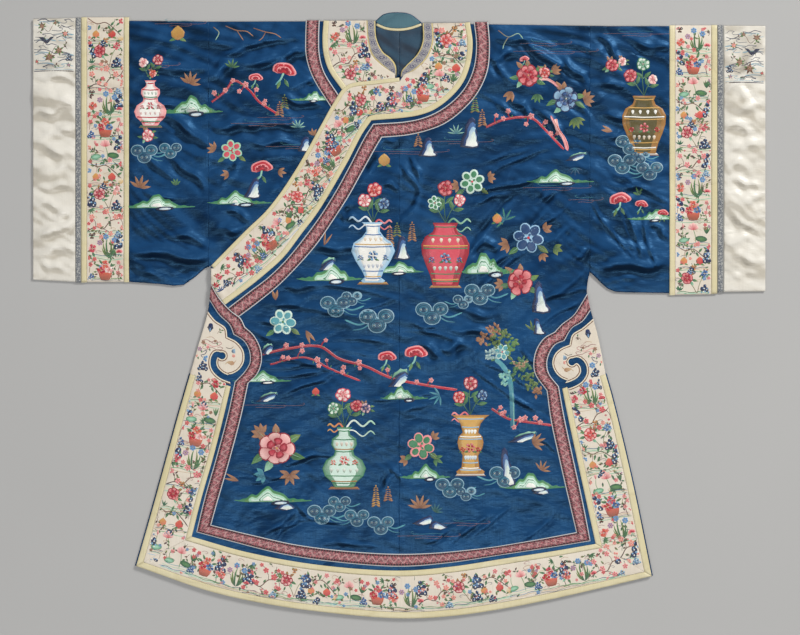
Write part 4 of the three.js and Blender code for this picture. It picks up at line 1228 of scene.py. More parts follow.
stitching = {
    "blueLift": 0.55,  # how high the stitches stand on the silk, the cream facings and the cuffs
    "creamLift": 0.34,
    "cuffLift": 0.3,
    "levelShare": 0.45,  # how much higher each level on top of another is
    "largeFrom": 17,  # areas over this size are filled with even triangles
    "spacing": 3.6,
    "roomStep": 1.5,  # the grid that keeps stitches inside their cloth
}


def newWork(surface, lift):
    return {"surface": surface, "lift": lift, "verts": [], "faces": [], "colours": [], "uvs": [], "count": 0}


def stitch(work, flat, heights, faces, paints, grain):
    c, s = heading(grain)
    z = work["surface"](flat[:, 0], flat[:, 1]) + heights
    work["verts"].append(np.column_stack([flat, z]))
    work["uvs"].append(np.column_stack([flat[:, 0] * c + flat[:, 1] * s, flat[:, 1] * c - flat[:, 0] * s]))
    work["colours"].append(np.column_stack([paints, np.ones(len(paints))]))
    work["faces"] += [[v + work["count"] for v in f] for f in faces]
    work["count"] += len(flat)


def patch(work, outline, outer, inner=None, toward=None, level=0, grain=None):
    # an area of stitches; its colour runs from outer at the rim to inner, or along the direction called toward
    outline = np.asarray(outline, float)
    if not allowed(work, outline).all():
        return
    outer = np.array(threads[outer] if isinstance(outer, str) else outer)
    inner = outer if inner is None else np.array(threads[inner] if isinstance(inner, str) else inner)
    outer, inner = [v * (0.92 + 0.16 * chance.random()) for v in (outer, inner)]
    x, y = outline.T
    turn = np.dot(x, np.roll(y, -1)) - np.dot(y, np.roll(x, -1))
    if turn < 0:
        outline = outline[::-1]
    size = np.ptp(outline, axis=0).max()
    high = work["lift"] * (1 + stitching["levelShare"] * level) * chance.uniform(1, 1.05)
    n = len(outline)
    centre = outline.mean(0)
    if size > stitching["largeFrom"]:
        flat, faces = triangulated(outline, [], stitching["spacing"], (0.9,))
        near = distanceTo(np.vstack([outline, outline[:1]]), flat[:, 0], flat[:, 1])
        heights = np.where(near < 0.3, high * 0.35 - 0.1, high)
        weight = np.clip(near / max(near.max(), 1e-6), 0, 1)
        faces = faces.tolist()
    else:
        ring = centre + (outline - centre) * 0.62
        flat = np.vstack([outline, ring, centre[None]])
        heights = np.concatenate([np.full(n, high * 0.3 - 0.15), np.full(n, high), [high * 1.1]])
        weight = np.concatenate([np.zeros(n), np.full(n, 0.65), [1.0]])
        faces = [[k, (k + 1) % n, n + (k + 1) % n, n + k] for k in range(n)]
        faces += [[n + k, n + (k + 1) % n, 2 * n] for k in range(n)]
    if toward is not None:
        c, s = heading(toward)
        run = flat[:, 0] * c + flat[:, 1] * s
        weight = (run - run.min()) / max(np.ptp(run), 1e-6)
    paints = outer + (inner - outer) * weight[:, None]
    stitch(work, flat, heights, faces, paints, grain if grain is not None else (toward or 0))


def seamLine(work, points, width, first, last=None, level=0, taper=True):
    # a couched or stem-stitched line
    points = np.asarray(points, float)
    points = points[allowed(work, points)]
    if len(points) < 2:
        return
    first = np.array(threads[first])
    last = first if last is None else np.array(threads[last])
    d = np.gradient(points, axis=0)
    d /= np.maximum(np.hypot(d[:, 0], d[:, 1]), 1e-6)[:, None]
    side = np.stack([-d[:, 1], d[:, 0]], 1)
    n = len(points)
    half = np.full(n, width / 2)
    if taper:
        half[-1] *= 0.25
        half[-2] *= 0.7 if n > 3 else 1
    flat = np.vstack([points + side * half[:, None], points, points - side * half[:, None]])
    high = work["lift"] * (1 + stitching["levelShare"] * level)
    heights = np.concatenate([np.full(n, -0.1), np.full(n, high), np.full(n, -0.1)])
    faces = [[k + 1, k, n + k, n + k + 1] for k in range(n - 1)]
    faces += [[n + k + 1, n + k, 2 * n + k, 2 * n + k + 1] for k in range(n - 1)]
    share = np.linspace(0, 1, n)[:, None]
    paints = np.vstack([first + (last - first) * share] * 3)
    angle = math.degrees(math.atan2(points[-1][1] - points[0][1], points[-1][0] - points[0][0]))
    stitch(work, flat, heights, faces, paints, angle)


def penAt(work, x, y, turn=0.0, size=1.0, flip=1):
    return {"work": work, "x": x, "y": y, "turn": turn, "size": size, "flip": flip}


def placed(pen, points):
    points = np.asarray(points, float) * pen["size"]
    c, s = heading(pen["turn"])
    x, y = points[:, 0] * pen["flip"], points[:, 1]
    return np.column_stack([pen["x"] + x * c - y * s, pen["y"] + x * s + y * c])


def facing(pen, angle):
    return pen["turn"] + (angle if pen["flip"] > 0 else 180 - angle)


def area(pen, points, outer, inner=None, toward=None, level=0, grain=None):
    patch(pen["work"], placed(pen, points), outer, inner, None if toward is None else facing(pen, toward),
          level, None if grain is None else facing(pen, grain))


def line(pen, points, width, first, last=None, level=0, round_=True):
    points = np.asarray(points, float)
    if round_ and len(points) > 2:
        points = smooth(points, max(1.2, 2.2 / pen["size"]))
    seamLine(pen["work"], placed(pen, points), width * pen["size"], first, last, level)


def petal(x, y, turn, length, width, blunt=0.75):
    # starts at x, y and widens toward its end
    rows = [(0, 0), (0.3, 0.30), (0.6, 0.47), (blunt, 0.5), (0.93, 0.3), (1, 0), (0.93, -0.3), (blunt, -0.5),
            (0.6, -0.47), (0.3, -0.30)]
    return swung(x, y, turn, [(a * length, b * width) for a, b in rows])


def leafShape(x, y, turn, length, width, bend=0.0):
    rows = [(0, 0), (0.18, 0.3), (0.42, 0.5), (0.7, 0.36), (1, 0), (0.7, -0.36), (0.42, -0.5), (0.18, -0.3)]
    bow = bend * length
    return swung(x, y, turn, [(a * length, b * width + bow * (a * (1 - a) * 4 - a)) for a, b in rows])


def leaf(pen, x, y, turn, length, width, first="pine", last="leaf", rib="mint", bend=0.0, level=0):
    area(pen, leafShape(x, y, turn, length, width, bend), first, last, toward=turn, level=level,
         grain=turn + 60)
    if length * pen["size"] > 7 and rib:
        tip = away(x, y, turn, 0.85 * length)
        line(pen, [(x, y), tip], max(0.5, width * 0.09), rib, level=level + 1)


roses = {
    "pink": ("blush", "pink", "crimson", "gold"), "red": ("rose", "red", "crimson", "gold"),
    "pale": ("white", "blush", "pink", "gold"), "blue": ("sky", "blue", "navy", "cream"),
    "coral": ("blush", "coral", "red", "cream"), "mint": ("white", "mint", "green", "pink"),
    "violet": ("blush", "violet", "navy", "gold"), "plum": ("sand", "plum", "dark", "gold"),
}


def peony(pen, x, y, r, kind="pink", level=1, rich=True):
    rim, body, deep, heart = roses[kind]
    start = chance.uniform(0, 60)
    large = r * pen["size"] > 9
    n = 7 if rich else 6
    for k in range(n):
        turn = start + k * 360 / n + chance.uniform(-9, 9)
        reach, rank = r * chance.uniform(0.68, 0.88), level + 0.3 * (k % 2) + 0.1 * k
        if large:
            area(pen, petal(*away(x, y, turn, 0.18 * r), turn, reach * 1.07, r * 0.84), deep, level=rank - 0.5)
        area(pen, petal(*away(x, y, turn, 0.2 * r), turn, reach, r * 0.74), deep if k % 2 else body,
             rim if large or k % 3 == 0 else body, toward=turn, level=rank)
    n = 5 if rich else 4
    for k in range(n):
        turn = start + 25 + k * 360 / n
        if large:
            area(pen, petal(*away(x, y, turn, 0.05 * r), turn, r * 0.6, r * 0.56), deep, level=level + 1.5)
        area(pen, petal(*away(x, y, turn, 0.08 * r), turn, r * 0.5, r * 0.46), deep, body, toward=turn,
             level=level + 2 + 0.25 * (k % 2))
    if rich:
        for k in range(3):
            turn = start + k * 120
            area(pen, oval(*away(x, y, turn, 0.13 * r), r * 0.18, r * 0.13, turn, 8), rim, deep,
                 level=level + 3)
    area(pen, oval(x, y, r * 0.1, r * 0.1, 0, 7), heart, level=level + 3.6)


def blossom(pen, x, y, r, kind="pink", level=1, petals=5):
    rim, body, deep, heart = roses[kind]
    start = chance.uniform(0, 72)
    for k in range(petals):
        turn = start + k * 360 / petals
        area(pen, oval(*away(x, y, turn, 0.56 * r), r * 0.46, r * 0.4, turn, 8), rim, body, level=level)
    area(pen, oval(x, y, r * 0.24, r * 0.24, 0, 6), heart, deep, level=level + 1)


def outlined(pen, x, y, r, edge="ice", fill="ground", heart="pink", petals=6, level=1):
    # petals drawn with a light couched rim round a darker filling
    start = chance.uniform(0, 60)
    for k in range(petals):
        turn = start + k * 360 / petals
        px, py = away(x, y, turn, 0.6 * r)
        area(pen, oval(px, py, r * 0.44, r * 0.37, turn, 11), edge, level=level)
        area(pen, oval(px, py, r * 0.385, r * 0.32, turn, 10), fill, fill, level=level + 1)
    for k in range(3):
        turn = start + 20 + k * 120
        area(pen, oval(*away(x, y, turn, 0.2 * r), r * 0.26, r * 0.2, turn, 9), edge, level=level + 1)
        area(pen, oval(*away(x, y, turn, 0.2 * r), r * 0.17, r * 0.12, turn, 8), fill, level=level + 2)
    area(pen, oval(x, y, r * 0.13, r * 0.13, 0, 7), heart, level=level + 3)


def peonySpray(pen, x, y, r, kind="pink", dry="tan", rich=True):
    # a peony with green leaves on one side and dry ones on the other
    for turn, size, first, last in ((200, 1.0, "pine", "leaf"), (235, 0.8, "green", "mint"),
                                    (340, 1.0, "pine", "leaf"), (20, 0.85, "green", "moss"),
                                    (130, 0.9, "brown", dry), (95, 0.7, "brown", dry)):
        turn += chance.uniform(-12, 12)
        leaf(pen, *away(x, y, turn, 0.7 * r), turn, r * 1.05 * size, r * 0.46, first, last,
             bend=chance.uniform(-0.12, 0.12))
    peony(pen, x, y, r, kind, rich=rich)


def fan(pen, x, y, turn, length, width, count=5, first="brown", last="tan", spread=130):
    # narrow leaves that spread from one point, as bamboo and maple do
    for k in range(count):
        at = turn + spread * (k / max(count - 1, 1) - 0.5)
        leaf(pen, x, y, at, length * (1 - 0.25 * abs(k / max(count - 1, 1) - 0.5)), width, first, last,
             rib=None)


def mound(pen, x, y, width, height, rim="green", water=True):
    # a low hill in rows that follow its crest, from green to nearly white
    u = np.linspace(-1, 1, 61)
    lean, side = chance.uniform(-0.3, 0.3), chance.choice((-1, 1))
    crest = 0.2 * (1 - abs(u)) ** 0.8
    for at, size, spread in ((lean, 1, 0.2), (lean + side * 0.36, 0.5, 0.17), (lean - side * 0.3, 0.62, 0.15)):
        crest = np.maximum(crest, size * (1 - 0.4 * abs(at)) / (1 + ((u - at) / spread) ** 4))
    crest = np.convolve(np.pad(crest, 2, mode="edge"), np.ones(5) / 5, "valid")
    crest = crest + 0.035 * np.sin(u * 29 + 9 * lean)
    crest = np.maximum(crest, 0) / crest.max() * (1 - u ** 8) + 0.03
    height = height * 0.84
    rows = ((rim, 0), ("leaf", 0.09), ("mint", 0.17), ("ice", 0.32), ("green", 0.43), ("ice", 0.49),
            ("mint", 0.62), ("white", 0.68))
    for k, (tone, drop) in enumerate(rows):
        high = np.flatnonzero(crest > drop + 0.05) if k else np.arange(len(u))
        for run in np.split(high, np.flatnonzero(np.diff(high) > 1) + 1):
            if len(run) < 4:
                continue
            across = x + u[run] * width / 2
            top = np.column_stack([across, y + (crest[run] - drop) * height])
            base = np.column_stack([across, y - (0.13 - 0.012 * k) * height * (1 - u[run] ** 4)
                                    - 0.02 * height * np.sin(7 * u[run])])
            area(pen, np.vstack([top, base[::-1]]), tone, level=k * 0.42, grain=90)
    if water:
        area(pen, oval(x + 0.1 * width, y - 0.15 * height, width * 0.12, height * 0.2, 3, 12, 0.1), "ink",
             level=4)
        area(pen, oval(x + 0.1 * width, y - 0.18 * height, width * 0.09, height * 0.13, 3, 10), "sky", "white",
             level=5)


def gardenStone(pen, x, y, width, height, lean=0.0):
    # a white stone fading to dark blue: a tall peak, an arched stone under a green cap, or a flat one
    if height > 1.15 * width:
        rows = [(-0.5, 0.03), (-0.4, 0.3), (-0.28, 0.5), (-0.26, 0.72), (-0.14, 0.94), (0.04, 1), (0.2, 0.9),
                (0.2, 0.68), (0.34, 0.48), (0.32, 0.28), (0.5, 0.14), (0.5, 0.02), (0.1, -0.03)]
    elif height > 0.5 * width:
        rows = [(-0.42, -0.05), (-0.24, 0.26), (-0.02, 0.56), (0.34, 0.78), (0.5, 0.6), (0.4, 0.38),
                (0.12, 0.2), (-0.04, -0.06)]
        cap = [(-0.5, 0.42), (-0.34, 0.74), (-0.12, 0.86), (0.06, 1.05), (0.3, 0.98), (0.56, 1.02), (0.66, 0.7),
               (0.4, 0.84), (0.1, 0.76), (-0.2, 0.56), (-0.38, 0.34)]
        cap = np.array([(x + (a + lean * b) * width, y + b * height) for a, b in cap])
        area(pen, cap, "ink", "sea", toward=90, level=0.6)
        area(pen, cap * 0.86 + cap.mean(0) * 0.14 + [0, 0.07 * height], "green", "mint", toward=90, level=1.2)
    else:
        rows = [(-0.5, 0), (-0.2, 0.7), (0.1, 1.0), (0.4, 0.6), (0.5, 0.1), (0, -0.25)]
    wide = width * (1.3 if height > 1.15 * width else 1)
    shape = np.array([(x + (a * chance.uniform(0.9, 1.1) + lean * b) * wide, y + b * height) for a, b in rows])
    middle = shape.mean(0)
    for k, (share, first, last) in enumerate(((1.24, "ink", "navy"), (1.04, "navy", "blue"),
                                              (0.84, "white", "sky"), (0.62, "white", "ice"))):
        moved = [0.06 * k * width, (share - 0.92) * 0.36 * height]
        area(pen, middle + (shape - middle) * share + moved, first, last, toward=80, level=0.5 + 0.5 * k)


def piercedRock(pen, x, y, width, height, first="ink", last="navy"):
    # a group of dark rounded lobes with light edges and pale holes
    for k, (a, b, r) in enumerate(((-0.3, 0.13, 0.24), (0.02, 0.18, 0.28), (0.32, 0.1, 0.22),
                                   (-0.16, 0.46, 0.24), (0.18, 0.52, 0.22), (-0.04, 0.8, 0.18))):
        turn = chance.uniform(0, 90)
        area(pen, oval(x + a * width, y + b * height, r * width, r * height * 0.9, turn, 9, 0.14), first, last,
             toward=70, level=0.5 + 0.25 * k)
        area(pen, oval(x + (a - 0.3 * r) * width, y + (b + 0.35 * r) * height, 0.42 * r * width,
                       0.3 * r * height, turn, 7), "blue", "sky", level=2.4)
    for a, b in ((-0.26, 0.1), (0.08, 0.26), (0.3, 0.06), (0.02, 0.56), (-0.2, 0.44)):
        area(pen, oval(x + a * width, y + b * height, 0.08 * width, 0.07 * height, 0, 7), "cream", "white",
             level=3)


def fungus(pen, x, y, r, turn=0, stem=True, first="red", last="rose"):
    # a lucky mushroom: a lobed cap in red and pink rows on a curled stalk
    c, s = heading(turn)

    def cap(size, drop):
        rows = []
        for k in range(13):
            a = math.radians(180 * k / 12)
            lobe = 1 + 0.04 * math.cos(5 * a)
            rows.append((r * size * math.cos(a) * lobe, r * size * 0.74 * math.sin(a) * lobe - drop * r))
        rows += [(-r * size * 0.92, -r * (0.15 * size + drop)), (-r * size * 0.5, -r * (0.26 * size + drop)),
                 (0, -r * (0.14 * size + drop)), (r * size * 0.5, -r * (0.26 * size + drop)),
                 (r * size * 0.92, -r * (0.15 * size + drop))]
        return swung(x, y, turn, rows)

    if stem:
        line(pen, [(x + 0.1 * r * s, y - 0.1 * r * c), (x - 0.2 * r + 0.5 * r * s, y - 0.7 * r * c),
                   (x - 0.7 * r, y - 1.1 * r)], r * 0.17, "mint", "teal")
        leaf(pen, x - 0.3 * r, y - 0.7 * r, 250, r * 0.8, r * 0.3, "green", "moss")
        leaf(pen, x, y - 0.6 * r, 300, r * 0.8, r * 0.3, "pine", "leaf")
    for k, (size, tone) in enumerate(((1.0, last), (0.89, first), (0.66, last), (0.58, "crimson"),
                                      (0.3, first))):
        area(pen, cap(size, 0.015 * k), tone, level=1 + 0.7 * k)
    for at in (35, 90, 145):
        spot = math.radians(at + turn)
        area(pen, oval(x + 0.45 * r * math.cos(spot), y + 0.32 * r * math.sin(spot), 0.11 * r, 0.09 * r, 0, 7),
             last, level=4.2)


def cloudCurl(pen, x, y, r):
    # one curl of a lucky cloud: light rim, blue-green rows and a white dot on each side
    for size, tone in ((1.0, "fog"), (0.93, "deepSea"), (0.82, "sea"), (0.72, "deepSea"), (0.62, "sea"),
                       (0.54, "deepSea")):
        area(pen, oval(x, y - 0.1 * (1 - size) * r, r * size, r * size * 0.86, 0, 16), tone,
             level=4.6 - 4 * size)
    for side in (-1, 1):
        for size, tone, rank in ((0.3, "fog", 3), (0.25, "ink", 3.4), (0.17, "teal", 3.8), (0.13, "ink", 4.2),
                                 (0.08, "white", 4.8)):
            area(pen, oval(x + side * 0.31 * r, y - 0.04 * r, r * size, r * size * 0.95, 0, 9), tone,
                 level=rank)


def cloudGroup(pen, x, y, r, tail=1):
    line(pen, [(x, y + 0.3 * r), (x + tail * 1.8 * r, y - 0.7 * r), (x + tail * 3.4 * r, y - 0.2 * r)], 0.2 * r,
         "sea", "teal")
    line(pen, [(x, y), (x + tail * 1.5 * r, y - 1.1 * r), (x + tail * 2.6 * r, y - 1.3 * r)], 0.14 * r, "teal",
         "sea")
    for a, b, size in ((-0.95, 0.15, 0.95), (0.95, 0.2, 0.9), (0.0, -0.75, 1.0)):
        cloudCurl(pen, x + a * r, y + b * r, size * r)


def mistLines(pen, x, y, width, tone="mist", other="teal"):
    # thin couched lines of mist with a curl at the end of each
    for k, (shift, share, side) in enumerate(((0, 1.0, 1), (4.2, 0.5, -1), (-4.0, 0.42, 1))):
        start, half = x - side * width / 2 * share, width * share
        end = start + side * half
        line(pen, [(start, y + shift), (start + side * half * 0.35, y + shift + 0.7),
                   (start + side * half * 0.7, y + shift - 0.5), (end, y + shift + 0.6),
                   (end + side * 3.4, y + shift + 2.6), (end + side * 1.2, y + shift + 4.4),
                   (end - side * 1.6, y + shift + 3.0)], 0.5, tone if k != 1 else other)


def plume(pen, x, y, height, first="ochre", last="tan"):
    # a small upright tree of drooping leaves in pairs
    line(pen, [(x, y), (x + 0.5, y + height)], 0.8, "brown")
    rows = max(3, int(height / 3.6))
    for k in range(rows):
        size = 9 - 5 * k / rows
        for side in (-1, 1):
            drooping = petal(x, y + height * (k + 0.6) / rows, 90 + side * chance.uniform(104, 124), size,
                             size * 0.42)
            area(pen, drooping, first if k % 2 else "brown", last, toward=90,
                 level=0.5 + 0.45 * (k % 2) + 0.2 * side)
    area(pen, petal(x, y + height * 0.94, 90, 5, 2.8), first, last, toward=90, level=1.4)


def branch(pen, points, width, first="crimson", last="red", flowers=(), kind="pink", twigs=4):
    # a winding branch with side twigs, blossoms and buds
    points = smooth(points, 3.0)
    line(pen, points, width, first, last, round_=False)
    line(pen, points + [0.25 * width, 0.22 * width], width * 0.22, "rose", level=1, round_=False)
    n = len(points)
    for k in range(twigs):
        at = points[int((k + 0.6) / (twigs + 0.3) * (n - 2))]
        turn = chance.choice((55, 80, 110, 135)) + (180 if k % 3 == 2 else 0)
        c, s = heading(turn)
        reach = chance.uniform(9, 16)
        end = (at[0] + reach * c, at[1] + reach * s)
        middle = (at[0] + reach * 0.5 * c - 2 * s, at[1] + reach * 0.5 * s + 2 * c)
        line(pen, [at, middle, end], width * 0.5, first)
        blossom(pen, end[0], end[1], chance.uniform(3.6, 5.4), kind)
        leaf(pen, at[0], at[1], turn - 50, 7, 2.6, "pine", "leaf")
    for share, r in flowers:
        at = points[int(share * (n - 1))]
        blossom(pen, at[0] + 0.2 * r, at[1] + 0.5 * r, r, kind)


def butterfly(pen, x, y, r, first="coral", last="gold", dots="navy"):
    for side in (-1, 1):
        area(pen, petal(x, y + 0.1 * r, 90 - side * 42, r * 1.15, r * 0.95), "dark", first, toward=90, level=1)
        area(pen, petal(x, y + 0.1 * r, 90 - side * 42, r * 0.85, r * 0.6), first, last, toward=90, level=2)
        area(pen, petal(x, y, 270 + side * 40, r * 0.8, r * 0.62), last, first, toward=270, level=1)
        area(pen, oval(x + side * 0.55 * r, y + 0.62 * r, 0.14 * r, 0.14 * r, 0, 7), dots, level=3)
        line(pen, [(x, y + 0.4 * r), (x + side * 0.3 * r, y + 1.0 * r), (x + side * 0.55 * r, y + 1.15 * r)],
             0.5, "dark")
    area(pen, oval(x, y, 0.12 * r, 0.55 * r, 0, 8), "dark", "brown", level=4)


def fruit(pen, x, y, r, first="coral", last="gold", leaves=True):
    if leaves:
        leaf(pen, x, y - 0.5 * r, 205, r * 1.3, r * 0.5)
        leaf(pen, x, y - 0.5 * r, 335, r * 1.3, r * 0.5, "green", "moss")
    rows = ((0, 1.15), (0.5, 0.8), (0.95, 0.25), (0.85, -0.4), (0.4, -0.8), (0, -0.9), (-0.4, -0.8),
            (-0.85, -0.4), (-0.95, 0.25), (-0.5, 0.8))
    area(pen, [(x + a * r, y + b * r) for a, b in rows], first, last, toward=120, level=1)


vaseForms = {
    "baluster": [(0, 0.17), (0.03, 0.2), (0.07, 0.13), (0.16, 0.18), (0.3, 0.29), (0.43, 0.36), (0.54, 0.32),
                 (0.62, 0.18), (0.7, 0.11), (0.78, 0.12), (0.82, 0.19)],
    "gourd": [(0, 0.15), (0.03, 0.18), (0.07, 0.2), (0.16, 0.32), (0.26, 0.36), (0.37, 0.3), (0.44, 0.17),
              (0.5, 0.15), (0.58, 0.21), (0.66, 0.2), (0.72, 0.1), (0.78, 0.09), (0.82, 0.13)],
    "beaker": [(0, 0.22), (0.04, 0.24), (0.09, 0.15), (0.26, 0.13), (0.36, 0.2), (0.44, 0.22), (0.52, 0.2),
               (0.58, 0.13), (0.7, 0.17), (0.78, 0.25), (0.82, 0.32)],
    "jar": [(0, 0.2), (0.04, 0.21), (0.14, 0.24), (0.28, 0.31), (0.42, 0.37), (0.54, 0.38), (0.64, 0.32),
            (0.7, 0.2), (0.76, 0.17), (0.82, 0.2)],
}


def vase(pen, x, y, height, body, shade, band, jewel, flowers, foot="gold", form="baluster"):
    # a tall vase of flowers on a stand; x, y is the middle of its foot
    profile = vaseForms[form]
    tall = height * 0.62
    right = [(x + w * tall, y + t * tall / 0.82) for t, w in profile]
    left = [(x - w * tall, y + t * tall / 0.82) for t, w in profile[::-1]]
    for turn, reach, kind, r in flowers:
        c, s = heading(turn)
        end = (x + reach * height * c, y + tall + reach * height * s)
        line(pen, [(x, y + tall), (x + reach * height * 0.5 * c - 2, y + tall + reach * height * 0.55 * s),
                   end], 1.5, "pine", "leaf")
        for k in (-1, 1):
            leaf(pen, x + reach * height * 0.55 * c, y + tall + reach * height * 0.55 * s, turn + k * 50,
                 height * 0.11, height * 0.045, "pine", "leaf")
    area(pen, [(x - 0.26 * tall, y - 3), (x + 0.26 * tall, y - 3), (x + 0.22 * tall, y + 1.6),
               (x - 0.22 * tall, y + 1.6)], "brown", foot, toward=90)
    area(pen, right + left, shade, body, level=1, grain=90)
    for share, first, last in ((0.84, shade, body), (0.66, body, body)):
        inner = [(x + (a - x) * share - (1 - share) * 0.05 * tall, y + 0.5 * tall + (b - y - 0.5 * tall) * 0.95)
                 for a, b in right + left]
        area(pen, inner, first, last, toward=90, level=4.2 - 3.1 * share, grain=0)
    widthAt = lambda t: float(np.interp(t * 0.82, *zip(*profile)))
    shine = [(x - 0.66 * widthAt(t) * tall, y + t * tall) for t in (0.26, 0.36, 0.46, 0.56)]
    line(pen, shine, 1.6, body, "white", level=2.7)
    for t, tone in ((0.08, band), (0.11, foot), (0.2, band), (0.6, band), (0.64, foot), (0.8, band),
                    (0.94, band)):
        yy, half = y + t * tall, 0.93 * widthAt(t)
        area(pen, [(x - half * tall, yy - 1.6), (x, yy - 2.6), (x + half * tall, yy - 1.6),
                   (x + half * tall, yy + 1.4), (x, yy + 0.4), (x - half * tall, yy + 1.4)], tone, level=3.6)
    for t, tone, count in ((0.22, band, 5), (0.66, foot, 4)):
        for k in range(count):
            at = 1.5 * widthAt(t + 0.06) * ((k + 0.5) / count - 0.5)
            area(pen, petal(x + at * tall, y + t * tall, 90, 0.11 * tall, 0.075 * tall), tone, "white",
                 toward=90, level=3)
    reach = 0.62 * widthAt(0.46)
    for dx, dy, r in ((0, 0.45, 0.09), (-reach, 0.42, 0.05), (reach, 0.42, 0.05)):
        peony(pen, x + dx * tall, y + dy * tall, r * tall, jewel, level=3, rich=False)
        for turn in (200, 340):
            leaf(pen, x + dx * tall, y + dy * tall - 0.5 * r * tall, turn, r * tall * 1.5, r * tall * 0.6,
                 rib=None, level=2.8)
    for turn, reach, kind, r in flowers:
        c, s = heading(turn)
        ex, ey = x + reach * height * c, y + tall + reach * height * s
        if kind in roses:
            peony(pen, ex, ey, r, kind)
        else:
            outlined(pen, ex, ey, r, "ice", kind, "red")


def ribbonTails(pen, x, y, side, length, first, last):
    # sash ends that float out from a vase's neck
    for k, rise in enumerate((0.2, -0.12)):
        line(pen, [(x, y), (x + side * length * 0.3, y + length * (rise + 0.14)),
                   (x + side * length * 0.6, y + length * (rise - 0.05)),
                   (x + side * length * 0.85, y + length * (rise + 0.12)),
                   (x + side * length, y + length * rise)],
             3.4 - k, first, last, level=1)


def basket(pen, x, y, width, height, first="ochre", last="gold"):
    rows = [(-0.5, 1), (-0.44, 0.45), (-0.3, 0.05), (0, 0), (0.3, 0.05), (0.44, 0.45), (0.5, 1)]
    area(pen, [(x + a * width, y + b * height) for a, b in rows], "brown", last, toward=90, level=1)
    for k in range(4):
        yy = y + height * (0.16 + 0.22 * k)
        half = width * (0.34 + 0.045 * k)
        line(pen, [(x - half, yy), (x, yy - 0.8), (x + half, yy)], 1.4, first, last, level=2)
    for k in range(-3, 4):
        line(pen, [(x + k * width * 0.1, y + 0.08 * height), (x + k * width * 0.14, y + 0.95 * height)], 0.7,
             last, level=3)
    line(pen, oval(x, y + height * 0.95, width * 0.4, height * 0.95, 0, 12, 0, 0, 180), 1.6, "ochre", "gold",
         level=1)


# What fills the cream bands: small groups, each about 56 across and 48 high round its middle

def peonyAndRock(pen):
    kind = chance.choice(("pink", "red", "coral"))
    line(pen, [(-28, -19), (-8, -21), (12, -18), (28, -21)], 1.3, "leaf", "mint")
    line(pen, [(-24, -22.5), (4, -23.5), (22, -22)], 0.9, "green", "sand")
    piercedRock(pen, -17, -19, 17, 15)
    line(pen, [(-6, -19), (0, -8), (8, 2)], 1.2, "brown", "leaf")
    line(pen, [(-6, -19), (-10, -2), (-16, 9)], 1.0, "brown", "leaf")
    peonySpray(pen, 9, 5, 9.5, kind, "ochre")
    peonySpray(pen, -17, 12, 5.6, chance.choice(("pink", "pale", "blue")), rich=False)
    fan(pen, 20, -14, 70, 9, 2.2, 5, "pine", "green")
    blossom(pen, 23, 17, 3.4, "red")
    leaf(pen, 22, 15, 230, 8, 3, "pine", "leaf")
    butterfly(pen, -1, 20, 4.4, "gold", "coral")


def plumBranch(pen):
    kind = chance.choice(("red", "pink", "coral"))
    line(pen, [(-28, -16), (-14, -9), (-3, -12), (8, 0), (22, 4), (28, 14)], 1.7, "dark", "brown")
    for a, b, x, y in ((-14, -9, -20, 6), (8, 0, 2, 14), (22, 4, 26, -10), (-3, -12, 8, -19), (2, 14, -6, 21)):
        line(pen, [(a, b), ((a + x) / 2 + 2, (b + y) / 2), (x, y)], 0.9, "dark", "brown")
    for x, y, r in ((-20, 6, 4.6), (2, 14, 4.8), (26, -10, 4.2), (8, -19, 4.4), (-6, 21, 3.4), (16, 6, 5.2),
                    (-9, -7, 4.6), (27, 15, 3.8)):
        blossom(pen, x, y, r * chance.uniform(0.9, 1.1), kind)
    for x, y in ((-25, -12), (12, 12), (-13, 14), (20, -3), (1, -16)):
        area(pen, oval(x, y, 1.7, 1.5, 0, 7), "crimson", "rose", level=1)
    fan(pen, -22, 18, 300, 9, 2.4, 5, "pine", "leaf")
    line(pen, [(-26, -23), (0, -24), (18, -22)], 1.1, "mint", "leaf")
    piercedRock(pen, 19, -24, 13, 9, "navy", "sky")


def irisClump(pen):
    for k, (turn, reach) in enumerate(((64, 27), (80, 32), (97, 30), (112, 26), (50, 20), (128, 19))):
        leaf(pen, -6, -20, turn, reach, 2.8, "pine", "leaf" if k % 2 else "moss", rib=None,
             bend=(0.1 if turn > 90 else -0.1))
    for x, y, kind in ((-1, 12, "blue"), (-14, 7, "blue"), (8, 3, "violet")):
        blossom(pen, x, y, 4.8, kind, petals=6)
    peony(pen, 19, -6, 6.6, chance.choice(("pink", "coral")), rich=False)
    leaf(pen, 19, -11, 250, 9, 4, "pine", "leaf")
    leaf(pen, 22, -10, 320, 8, 3.4, "green", "mint")
    line(pen, [(19, -12), (16, -20)], 1.0, "leaf")
    line(pen, [(-28, -21), (-6, -23), (14, -20), (28, -22)], 1.4, "mint", "leaf")
    line(pen, [(-22, -24), (6, -25), (24, -24)], 0.8, "sand")
    fungus(pen, -21, -11, 5.4)
    line(pen, [(12, 20), (18, 22), (24, 19), (22, 16)], 0.8, "sand", "mist")
    butterfly(pen, 20, 12, 4.8, "black", "brown", "white")


